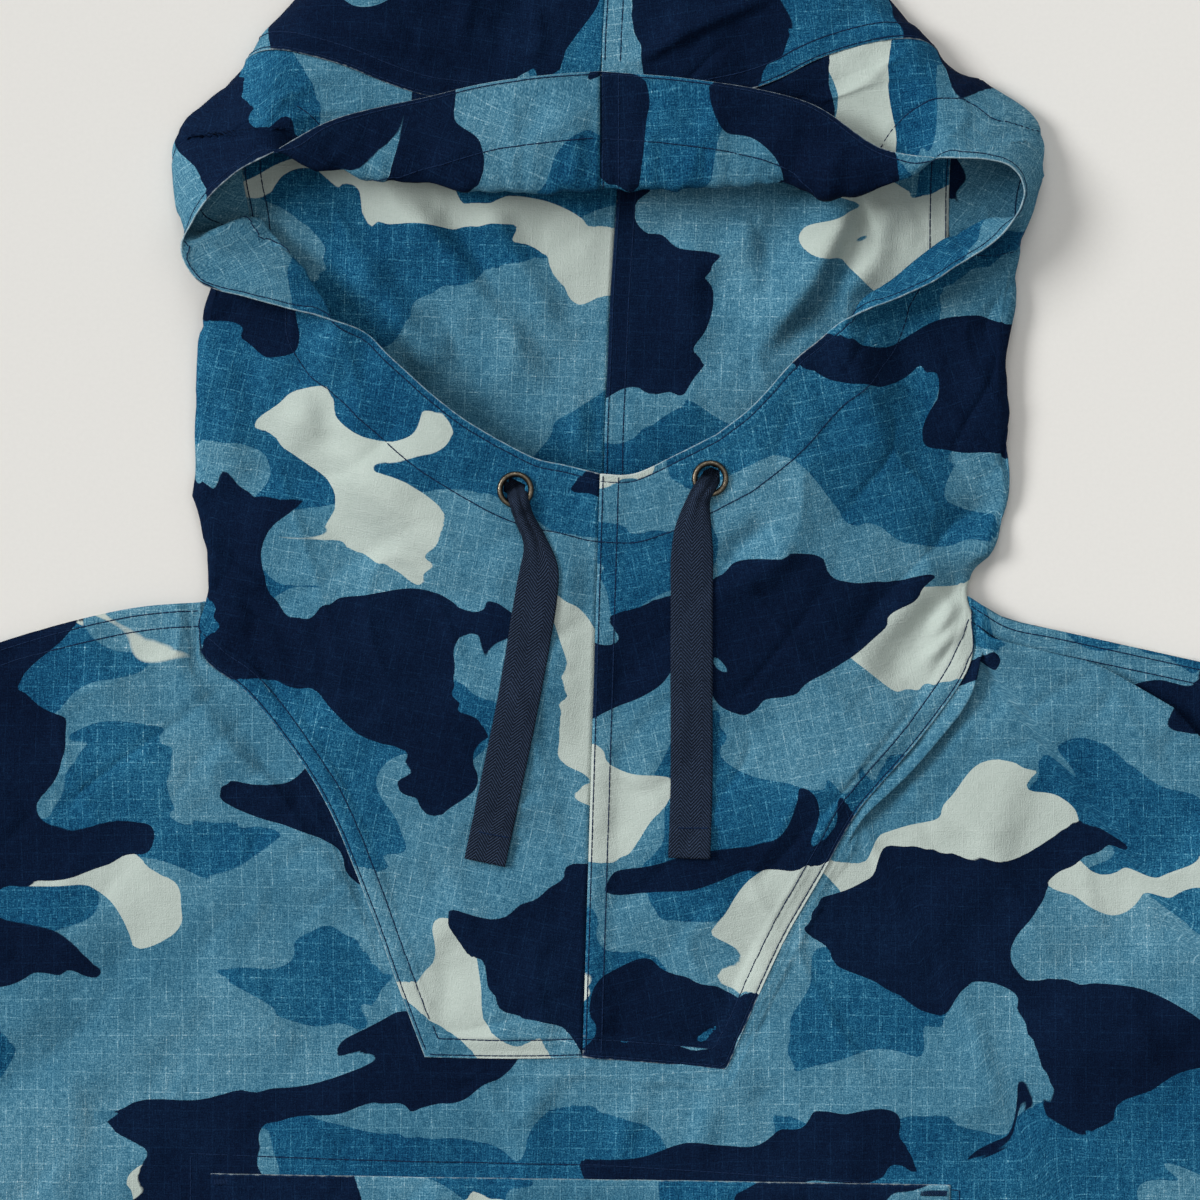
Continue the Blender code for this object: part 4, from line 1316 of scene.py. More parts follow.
def unwrapped_ring(places: Array, corners: Array, panel: Panel) -> Array:
    """Carries the cloth of a closed ring on past the seam where it closes.

    Args:
        places: Place on the cloth of each face corner, in metres.
        corners: Number of the point at each face corner.
        panel: The ring.

    Returns:
        The places, with those beyond the seam moved to its far side.
    """
    columns = panel.points.shape[1]
    column = (corners % columns).reshape(-1, 4)
    closing = (column.max(axis=1) == columns - 1) & (column.min(axis=1) == 0)
    first = closing[:, None] & (column == 0)
    row = (corners // columns).reshape(-1, 4)
    last = panel.cloth[:, -1] + (panel.cloth[:, -1] - panel.cloth[:, -2])
    moved = places.reshape(-1, 4, 2).copy()
    moved[first] = (last * MM)[row[first]]
    return moved.reshape(-1, 2)


class ClothPiece:
    """What the cotton pieces share: each becomes a sheet that lies in the place of a solid."""

    panel: Optional[Panel]
    rests_on: tuple[str, ...] = ()

    def names(self) -> tuple[str, str]:
        """Names of the piece and of its solid."""
        raise NotImplementedError

    def build(self, cotton: Material) -> Object:
        """Makes the sheet.

        Args:
            cotton: Its finish.

        Returns:
            The object.
        """
        name, solid = self.names()
        made = cloth_object(name, self.panel, cotton, [solid])
        flat, area = self.panel.cut()
        below = {"rests_on": list(self.rests_on)} if self.rests_on else {}
        return made


@dataclass
class Stitches:
    """Rows of lockstitch in navy thread, gathered for one joined mesh.

    pitch: length of a stitch. length: what shows of it. width and height: of the thread.
    """

    name: str
    pitch: float = 2.75
    length: float = 2.85
    width: float = 0.46
    height: float = 0.36
    vertices: list[Array] = field(default_factory=list)
    faces: list[Array] = field(default_factory=list)
    count: int = 0

    def add(self, middle: Array, ahead: Array, up: Array, length: float) -> None:
        """Adds one stitch at each middle.

        Args:
            middle: Where the stitches lie.
            ahead: Which way each runs.
            up: Which way each faces.
            length: Of a stitch.
        """
        across = np.cross(ahead, up)
        ring = []
        end, body = (0.85, -0.08), (1.0, 0.08)  # thickness and rise of the thread where it dives and between
        for along, (scale, rise) in zip((-0.5, -0.3, 0.3, 0.5), (end, body, body, end)):
            centre = middle + ahead * (along * length) + up * (CLOTH_WALL / 2 + rise)
            half, tall = across * (self.width / 2 * scale), up * (self.height / 2 * scale)
            ring.append(np.stack([centre + half, centre + tall, centre - half, centre - tall], axis=1))
        turn = [(k, (k + 1) % 4, 4 + (k + 1) % 4, 4 + k) for k in range(4)]
        faces = [tuple(low + k for k in face) for low in (0, 4, 8) for face in turn]
        faces += [(3, 2, 1, 0), (12, 13, 14, 15)]
        starts = self.count + 16 * np.arange(len(middle))
        self.faces.append((starts[:, None, None] + np.array(faces)[None]).reshape(-1, 4))
        self.vertices.append(np.concatenate(ring, axis=1).reshape(-1, 3))
        self.count += 16 * len(middle)

    def bar_tack(self, start: Array, run: Array) -> None:
        """Adds a dense zigzag that holds the end of an opening.

        Args:
            start: Where it starts.
            run: Its direction and length.
        """
        count = max(6, int(np.linalg.norm(run) / 0.5))
        middle = start + run * np.linspace(0, 1, count)[:, None]
        slant = unit(np.cross(UP, run)) + 0.16 * unit(run)
        ahead = np.broadcast_to(unit(slant), middle.shape)
        self.add(middle, ahead, np.broadcast_to(UP, middle.shape), 2.1)

    def along(self, points: Array, normals: Array) -> None:
        """Adds a row of stitches.

        Args:
            points: Places on its line.
            normals: Which way the cloth faces the eye at each.
        """
        distance = lengths(points)
        if distance[-1] < 2 * self.pitch:
            return
        middles = np.arange(self.pitch / 2, distance[-1] - self.pitch / 2, self.pitch)
        reach = self.length / 2
        ahead = read_at(points, distance, middles + reach) - read_at(points, distance, middles - reach)
        up = units(read_at(normals, distance, middles))
        self.add(read_at(points, distance, middles), units(ahead), up, self.length)

    def on_panel(self, panel: Panel, places: Sequence[Place], faces: Sequence[int] = (1,)) -> None:
        """Adds a row on a panel.

        Args:
            panel: The panel.
            places: Row and column of places on the line.
            faces: 1 for its outer face, -1 for its inner face.
        """
        if len(places) < 3:
            return
        points, normals = (np.array(found) for found in zip(*(panel.at(*place) for place in places)))
        for face in faces:
            self.along(points, normals * face)

    def build(self, material: Material) -> Object:
        """Joins the rows into one object.

        Args:
            material: The thread's finish.

        Returns:
            The object.
        """
        vertices = to_world(np.concatenate(self.vertices))
        LOG.info("%s: %d stitches", self.name, self.count // 16)
        return make_object(self.name, vertices, np.concatenate(self.faces), material)


# Creases inside the hood, on the back of its neck.
INSIDE_CREASES = (
    Crease([(-74, 149), (-54, 124), (-34, 99), (-20, 74)], 6.8, 9.0, 1.5),
    Crease([(-43, 146), (-29, 121), (-14, 95)], 4.6, 8.0, 1.4),
    Crease([(-92, 128), (-72, 103), (-52, 80)], 5.7, 9.0, 1.3),
    Crease([(92, 152), (84, 132), (76, 116), (56, 92)], 9.5, 11.0, 2.4),
    Crease([(104, 150), (100, 128), (86, 108)], 3.0, 6.0, 1.2),
    Crease([(58, 144), (52, 124), (56, 104)], 2.4, 7.0, 1.5),
    Crease([(36, 137), (31, 110), (36, 86)], 3.0, 9.0, 1.3),
    Crease([(-20, 78), (-8, 70), (-4, 56)], 2.2, 5.0),
    Crease([(14, 84), (24, 74), (40, 74)], 2.4, 6.0, 1.4),
)
CROWN_CREASES = (
    Crease([(-70, 232), (-50, 222), (-28, 214)], 2.6, 6.0),
    Crease([(20, 250), (48, 236), (74, 228)], 2.9, 7.0),
    Crease([(64, 219), (38, 208), (14, 195)], 3.6, 4.4, 2.4),
    Crease([(-96, 206), (-74, 204), (-58, 196)], 1.8, 5.0, 1.5),
    Crease([(-52, 236), (-46, 218), (-50, 202)], 1.7, 4.0, 1.5),
    Crease([(84, 214), (70, 220), (58, 232)], -1.8, 5.0),
    Crease([(-24, 216), (-22, 203), (-25, 194)], 1.8, 3.0),
    Crease([(-38, 212), (-35, 202), (-37, 195)], -1.4, 3.2),
    Crease([(30, 214), (27, 204), (30, 195)], 1.6, 3.4),
)
LEFT_HOOD_CREASES = (
    Crease([(-143, 54), (-112, 45), (-86, 22), (-60, 2), (-40, -14)], -5.4, 10.0, 0.7),
    Crease([(-100, 62), (-66, 26), (-36, -2)], 2.9, 10.0),
    Crease([(-144, 22), (-130, 12), (-118, 4)], 2.7, 4.0, 1.6),
    Crease([(-143, 2), (-128, -3), (-116, -12)], 3.0, 4.5, 1.6),
    Crease([(-128, 8), (-124, -6), (-121, -16)], -1.9, 3.6),
    Crease([(-110, -4), (-104, -18), (-106, -30)], 1.9, 5.0),
    Crease([(-108, 92), (-98, 70), (-96, 52)], -2.6, 6.0),
    Crease([(-140, 92), (-132, 70), (-134, 48)], 2.1, 7.0),
)
RIGHT_HOOD_CREASES = (
    Crease([(62, 30), (53, 23), (43, 15)], -3.5, 5.0, 1.4),
    Crease([(70, 22), (60, 12), (48, 6)], 2.6, 5.0),
    Crease([(148, 37), (130, 30), (110, 21)], -3.2, 8.0),
    Crease([(140, 16), (126, 2), (108, -13), (97, -27)], -4.2, 7.0, 0.7),
    Crease([(119, 12), (104, -12), (88, -30)], 2.7, 7.0),
    Crease([(138, 3), (127, -2), (118, -12)], 3.2, 3.6, 1.6),
    Crease([(135, -8), (126, -11), (117, -20)], 2.6, 3.2, 1.5),
    Crease([(104, 104), (110, 80), (120, 60)], -2.6, 8.0),
    Crease([(146, 100), (138, 78), (142, 52)], 2.2, 8.0),
)
BODY_CREASES = (
    Crease([(14, -178), (10, -190), (6, -199)], 2.1, 5.0),
    Crease([(41, -176), (37, -190), (33, -200)], 2.1, 5.0),
    Crease([(-152, -22), (-140, -44), (-118, -72)], 2.2, 6.0, 1.4),
    Crease([(-190, -12), (-172, -40), (-150, -62)], 2, 8.0),
    Crease([(-100, -108), (-84, -128), (-74, -150)], -1.5, 6.0),
    Crease([(150, -60), (140, -96), (112, -128)], 2.4, 9.0),
    Crease([(190, -120), (160, -140), (128, -150)], -2, 10.0),
    Crease([(-20, -172), (-26, -186), (-22, -200)], 1.7, 5.0),
    Crease([(58, -172), (66, -188), (60, -200)], -1.5, 6.0),
    Crease([(-120, -170), (-132, -186), (-126, -198)], 1.7, 7.0),
)


def with_height(point: Sequence) -> Array:
    """The point, with its height read from front_height where the table leaves it out."""
    x, y, z = point
    return np.array([x, y, float(front_height(np.array(x), np.array(y))) if z is None else z], float)


UP = np.array([0.0, 0.0, 1.0])
LEVEL = np.array([1.0, 1.0, 0.0])


def laid_over(base: Array, crest: Array, run: float, end: Array, depth: float, rise: float,
              low: float) -> tuple[Array, Array]:
    """Side view of a fold that laps over the cloth beyond it.

    Args:
        base: Distances along the unfolded line.
        crest: Where on it the fold turns back.
        run: Length of the line that the turn takes.
        end: Where the line is back in its place.
        depth: How far the cloth runs back under the crest.
        rise: Height of the crest.
        low: How far the cloth under the crest lies below its place.

    Returns:
        Distances and heights of the folded line.
    """
    turn = np.clip((base - crest) / run, 0, 1)
    back = ease(turn)
    rest = (base - crest - run) / (end - crest - run)
    over = crest + 0.8 * np.sin(math.pi * turn) * (1 - turn) - depth * back
    beyond = crest - depth + rest * (end - crest + depth)
    place = np.where(base < crest, base, np.where(base < crest + run, over, beyond))
    height = rise * ease(base / crest) * (1 - back) - low * back * (1 - ease(rest))
    return np.where(base < end, place, base), np.where(base < end, height, 0.0)


@dataclass
class HoodSide(ClothPiece):
    """One side panel of the hood: edge casing, side of the head and half of the chest inset.

    grain and origin: angle and place on the cloth of the edge that joins the other side. step: between
    fine rows. eyelet: x, y of its middle. tuck, tuck_rows and tuck_depth: crest of the fold beside the
    opening, the rows that it crosses and how far it laps over. seat: height of the cloth that the
    eyelet is clenched on. rim, seam, front and crown: each point's distance from an edge of the panel.
    """

    rests_on = ("body_back",)

    side: Side
    table: Table
    creases: tuple[Crease, ...]
    grain: float
    origin: Place
    eyelet: Place
    tuck: Path
    tuck_rows: tuple[int, int]
    tuck_depth: float
    step: float = 1.85
    seat: float = 0.0
    panel: Optional[Panel] = None
    scale: Optional[RowScale] = None
    seam_line: Optional[Array] = None
    rim: Optional[Array] = None
    seam: Optional[Array] = None
    front: Optional[Array] = None
    crown: Optional[Array] = None

    def row_path(self, row: Row) -> tuple[Array, float, float]:
        """One section from the rim to the seam.

        Args:
            row: A row of the table.

        Returns:
            The dense line and the distances along it of the fold and of the side.
        """
        rim, seam = with_height(row[RIM]), with_height(row[SEAM])
        path = [rim]
        fold, side = row[FOLD], row[SIDE]
        if fold:
            edge = np.array(fold, float)
            inward = unit((edge - rim) * LEVEL)
            centre = edge - inward * FOLD_RADIUS
            path += [centre + UP * FOLD_RADIUS, centre + inward * FOLD_RADIUS, centre - UP * FOLD_RADIUS]
        foot_at = 0
        if side:
            foot = np.array([side[0], side[1], FLOOR + SIDE_RADIUS], float)
            inward = unit((seam - foot) * LEVEL)
            last = path[-1]
            if fold:
                for part in CREST_STEPS:
                    x, y = (last + (foot - last) * part)[:2]
                    path.append(np.array([x, y, min(front_height(x, y), last[2] + 3)]))
                x, y = (foot + inward * 0.55 * SIDE_RADIUS)[:2]
                path.append(np.array([x, y, 0.75 * front_height(x, y) + 1.5]))
            foot_at = len(path)
            path += [foot, foot + inward * SIDE_RADIUS * 1.2 - UP * SIDE_RADIUS]
        elif row[SEAM][2] is None:
            start = path[-1]
            for part in FRONT_STEPS:
                x, y = (start + (seam - start) * part)[:2]
                lift = (start[2] - front_height(start[0], start[1])) * (1 - part) ** 2
                path.append(np.array([x, y, front_height(x, y) + lift]))
        elif fold:
            path.append((path[-1] + seam) / 2 - UP)
        else:
            path.append((rim + seam) / 2 + UP * 1.5)
        path.append(seam)
        line = smooth_line(path)
        line[:, 2] = np.maximum(line[:, 2], FLOOR)
        along = lengths(line)

        fold_at, side_at = (along[np.argmin(np.linalg.norm(line - path[k], axis=1))] for k in (2, foot_at))
        fold_at = fold_at if fold else EDGE_BAND
        side_at = side_at if side else along[-1] - SIDE_BAND
        return line, fold_at, min(side_at, along[-1] - 2.5 * BEND)

    def section(self, row: Row) -> Array:
        """Divides one section, most finely at its edges and bends.

        Args:
            row: A row of the table.

        Returns:
            Points from the rim to the seam, as many for each row.
        """
        line, fold_at, side_at = self.row_path(row)
        total = lengths(line)[-1]
        ends = (BEND, fold_at - BEND, fold_at + BEND, side_at - BEND, side_at + BEND, total - BEND)
        spans = [np.linspace(a, b, n)[:-1] for a, b, n in zip(ends, ends[1:], (14, 9, 98, 7, 24))]
        return at_lengths(line, np.concatenate([FIRST_PLACES, *spans, total - np.array(LAST_PLACES)]))

    def shape(self) -> None:
        """Works out the panel's bent and flat form."""
        controls = np.array([self.section(row) for row in self.table])
        self.scale = RowScale.of(controls, self.step, (CORNER_ROW,))
        points = self.scale.spread(controls)
        free = self.scale.index(EVEN_ROW)
        points[free:] = even_out(points[free:], 2.6)
        along = lengths(points, axis=1)
        rim = lengths(points[:, 0])
        turn = -math.pi / 2 + self.side.value * math.pi * (rim / rim[-1])
        reach = 95.0 + along
        guess = np.stack([reach * np.cos(turn)[:, None], reach * np.sin(turn)[:, None]], axis=-1)
        cloth = flat_pattern(points, guess, self.scale.index(CORNER_ROW))
        cloth = turned_to(cloth, (0, -1), (0, 0), self.grain, self.origin)
        self.seam_line = points[:, -1].copy()
        self.fold_tuck(points, cloth)
        self.panel = Panel(points, cloth, np.zeros(points.shape[:2]), outward=-self.side.value)
        self.relief()

    def fold_tuck(self, points: Array, cloth: Array) -> None:
        """Laps the cloth beside the edge over the cloth beyond the tuck's crest.

        Args:
            points: The panel's points, changed in place.
            cloth: Places on the flat cloth, moved on by what the tuck hides.
        """
        line = np.array(sorted(self.tuck), float)
        first, last = (self.scale.index(row) for row in self.tuck_rows)
        half = points.shape[1] * 2 // 3
        for row in range(first, last):
            along = lengths(points[row])
            above = points[row, :half, 1] - np.interp(points[row, :half, 0], line[:, 0], line[:, 1])
            crest = float(np.interp(0.0, np.maximum.accumulate(above), along[:half]))
            if crest < 2.5:
                continue
            amount = float(ease((row - first) / 9) * ease((last - row) / 9))
            end = min(crest + 17, along[-1] - 9)
            place, height = laid_over(along, crest, 1.8, end, self.tuck_depth, 1.2, 1.0)
            place, height = along + amount * (place - along), amount * height
            extra = lengths(np.stack([place, height], axis=1)) - along
            points[row] = read_at(points[row], along, place)
            points[row, :, 2] += height
            cloth[row] += extra[:, None] * units(np.gradient(cloth[row], axis=0))

    def relief(self) -> None:
        """Casing, seam allowances, ripples of the stitches and creases."""
        panel, cloth = self.panel, self.panel.cloth
        rows = np.arange(len(cloth))[:, None]
        corner_end = self.scale.index(INSET_ROWS - 1)
        inset = rows <= corner_end
        self.rim, rim_along = from_edge(cloth, cloth[:, 0])
        stitched = cloth[: self.scale.index(NOTCH_ROW) + 1, -1]
        beyond = stitched[-1] + 9 * (stitched[-1] - stitched[-5])
        self.seam, seam_along = from_edge(cloth, np.concatenate([stitched, beyond[None]]))
        self.front, _ = from_edge(cloth, cloth[0])
        self.crown, _ = from_edge(cloth, cloth[-1])
        coronal, _ = from_edge(cloth, cloth[corner_end:, -1])
        u, v = cloth[..., 0], cloth[..., 1]
        outer = 1 - ease((rows - self.scale.index(NOTCH_ROW)) / 40.0)
        neck, _ = from_edge(cloth, cloth[self.scale.index(NOTCH_ROW) : corner_end + 1, -1])
        free = np.minimum(np.minimum(self.seam, coronal), np.minimum(self.front, self.crown))
        free = np.minimum(free, neck)
        free = ease((free - 2) / 9) * ease((self.rim - 3) / 12)
        calm = ease((neck - 1) / 9)
        heights = lifted(WASHED_COTTON, u, v) * (0.12 + 0.88 * free)
        heights += 0.42 * (1 - ease((self.rim - CASING + 0.4) / 1.6)) * (2 * outer - 1)
        heights += pucker(self.rim, rim_along, RIM_STITCH, Ripples.RIM) * 0.8
        heights += pucker(self.rim, rim_along, CASING, Ripples.CASING) * ease((self.seam - 12) / 8)
        heights += lapped(self.seam) + twin_pucker(self.seam, seam_along, Ripples.SIDE_SEAM)
        band = ease((rows - self.scale.index(TOP_ROW)) / 12.0) * ease((self.rim - 3) / 6)
        band = band * (1 - ease((self.rim - 44) / 10)) * ease((self.crown - 1) / 8)
        heights += band * 1.25 * lattice_noise(rim_along / 8.5, self.rim / 26, 23)
        heights += band * 0.7 * lattice_noise(rim_along / 4.2 + self.rim / 30, self.rim / 14, 24)
        if self.side is Side.RIGHT:
            for edge in (self.front, self.crown):
                heights += lapped(edge) + twin_pucker(edge, self.rim, Ripples.CENTRE_FRONT)
        points = panel.points.copy()
        panel.lift(heights)
        x, y = panel.points[..., 0], panel.points[..., 1]
        upper = ease((panel.points[..., 2] - 1.5) / 2.5) * ease((self.rim - 8) / 16)
        rise = lifted(self.creases + FRONT_CREASES, x, y)
        panel.points[..., 2] += rise * upper * calm * (rows <= self.scale.index(CREASED_ROW))
        floor_part = (1 - ease((points[..., 2] - 2.0) / 3.0)) * ~inset
        inside = lifted(INSIDE_CREASES, x, y)
        panel.points[..., 2] += floor_part * np.maximum(inside, 0) * ease((coronal + 4) / 10)
        panel.keep_above(0.3)
        self.flatten_round_eyelet()
        wear = 0.95 * (1 - ease((self.rim - 0.2) / 0.7))
        wear = wear + 0.3 * bump_at(self.rim, RIM_STITCH + 1.0, 0.5) + edge_wear(self.seam)
        if self.side is Side.RIGHT:
            for edge in (self.front, self.crown):
                wear += 0.7 * edge_wear(edge)
        panel.wear = np.clip(wear, 0, 1)
        panel.hole = (*self.eyelet, 4.1)

    def flatten_round_eyelet(self) -> None:
        """Presses the cloth level where the eyelet's flange is clenched on it."""
        points = self.panel.points
        away = np.hypot(points[..., 0] - self.eyelet[0], points[..., 1] - self.eyelet[1])
        away = np.where(points[..., 2] < UPPER_LAYER, 1e3, away)
        self.seat = float(points[..., 2][away < 6.5].mean())
        level = 1 - ease((away - 6.6) / 7.0)
        points[..., 2] += level * (self.seat - points[..., 2])
        self.seat += CLOTH_WALL / 2

    def stitch(self, stitches: Stitches) -> None:
        """Sews the rim, the casing, the inset's seam and, on the right panel, the centre seams.

        Args:
            stitches: Where the rows are gathered.
        """
        panel, scale = self.panel, self.scale
        whole = slice(0, len(panel.points))
        stitches.on_panel(panel, panel.row_line(self.rim, RIM_STITCH, False, whole), (1, -1))
        casing = [whole]
        if self.side is Side.LEFT:  # the tuck hides a stretch of the row
            first, last = (scale.index(row) for row in self.tuck_rows)
            casing = [slice(0, first + 3), slice(last, len(panel.points))]
        for part in casing:
            stitches.on_panel(panel, panel.row_line(self.rim, CASING, False, part), (1, -1))
        corner, end = scale.index(CORNER_ROW), scale.index(INSET_ROWS - 1) + 1
        for distance in TWIN_ROWS:
            for part in (slice(0, corner + 1), slice(corner, end)):
                stitches.on_panel(panel, panel.row_line(self.seam, distance, True, part))
        if self.side is Side.RIGHT:
            columns = slice(2, panel.points.shape[1] - 2)
            for distance in TWIN_ROWS:
                stitches.on_panel(panel, panel.column_line(self.front, distance, False, columns), (1, -1))
                stitches.on_panel(panel, panel.column_line(self.crown, distance, True, columns), (1, -1))

    def names(self) -> tuple[str, str]:
        """Names of the piece and of its solid."""
        return f"hood_side_{self.side.label}", f"hood_front_{self.side.label}"


@dataclass
class HoodBack(ClothPiece):
    """One back panel of the hood, from the back neck over the crown to the coronal seam.

    front: the side panel that it is sewn to. origin: place on the cloth of the centre seam's foot.
    coronal and centre: each point's distance from those seams.
    """

    side: Side
    table: Table
    front: HoodSide
    origin: Place
    columns: int = 76
    panel: Optional[Panel] = None
    coronal: Optional[Array] = None
    centre: Optional[Array] = None

    def shape(self) -> None:
        """Works out the panel's bent and flat form."""
        scale = self.front.scale
        first, last = scale.index(FIRST_CORONAL_ROW), scale.index(LAST_CORONAL_ROW)
        table = np.concatenate([self.table, np.array(BACK_HEIGHTS)[..., None]], axis=2)
        controls = scale.spread(table, FIRST_CORONAL_ROW)
        starts = self.front.seam_line[first : last + 1]
        rows = []
        for start, control in zip(starts, controls):
            line = smooth_line(np.concatenate([start[None], control]))
            rows.append(at_lengths(line, np.linspace(0, lengths(line)[-1], self.columns)))
        end = self.front.seam_line[last:]
        final = at_lengths(end, np.linspace(0, lengths(end)[-1], self.columns))
        below = rows[-1]
        rows += [below + (final - below) * part for part in np.linspace(0, 1, TIP_ROWS + 1)[1:]]
        points = np.array(rows)
        wide = self.side.value * (lengths(points, axis=1)[:, -1:] - lengths(points, axis=1))
        guess = np.stack([wide, np.broadcast_to(lengths(points[:, -1])[:, None], wide.shape)], axis=-1)
        cloth = turned_to(flat_pattern(points, guess), (0, -1), (first // 2, -1), 90.0, self.origin)
        self.panel = Panel(points, cloth, np.zeros(points.shape[:2]), outward=-self.side.value)
        self.relief()

    def relief(self) -> None:
        """Seam allowances, ripples of the stitches and creases."""
        panel, cloth = self.panel, self.panel.cloth
        points = panel.points
        u, v = cloth[..., 0], cloth[..., 1]
        self.coronal, along = from_edge(cloth, np.concatenate([cloth[:, 0], cloth[-1]]))
        self.centre, _ = from_edge(cloth, cloth[:, -1])
        neck, _ = from_edge(cloth, cloth[0])
        free = ease((np.minimum(self.coronal, self.centre) - 2) / 9) * ease((neck - 2) / 20)
        heights = lifted(WASHED_COTTON, u, v) * (0.12 + 0.88 * free)
        upper = ease((points[..., 2] - 3.0) / 4.0)
        heights += lapped(self.coronal) * upper + twin_pucker(self.coronal, along, Ripples.CORONAL_SEAM)
        wear = edge_wear(self.coronal)
        if self.side is Side.RIGHT:
            heights += lapped(self.centre) + twin_pucker(self.centre, neck, Ripples.CENTRE_BACK)
            wear += 0.7 * edge_wear(self.centre)
        floor_part = 1 - ease((points[..., 2] - 1.5) / 3.0)
        panel.lift(heights * (1 - floor_part))
        x, y = panel.points[..., 0], panel.points[..., 1]
        inside = lifted(INSIDE_CREASES, x, y)
        panel.points[..., 2] += floor_part * (np.maximum(inside, 0) * (0.15 + 0.85 * free) + np.abs(heights))
        panel.points[..., 2] += upper * lifted(CROWN_CREASES, x, y) * free
        panel.keep_above(0.3)
        panel.wear = np.clip(wear, 0, 1)

    def stitch(self, stitches: Stitches) -> None:
        """Sews the coronal seam and, on the right panel, the centre seam.

        Args:
            stitches: Where the rows are gathered.
        """
        panel = self.panel
        rows, columns = slice(0, len(panel.points) - TIP_ROWS - 1), slice(6, self.columns - 1)
        for distance in TWIN_ROWS:
            stitches.on_panel(panel, panel.row_line(self.coronal, distance, False, rows), (1, -1))
            stitches.on_panel(panel, panel.column_line(self.coronal, distance, True, columns), (1, -1))
            if self.side is Side.RIGHT:
                stitches.on_panel(panel, panel.row_line(self.centre, distance, True, rows), (1, -1))

    def names(self) -> tuple[str, str]:
        """Names of the piece and of its solid."""
        return f"hood_rear_{self.side.label}", f"hood_back_{self.side.label}"


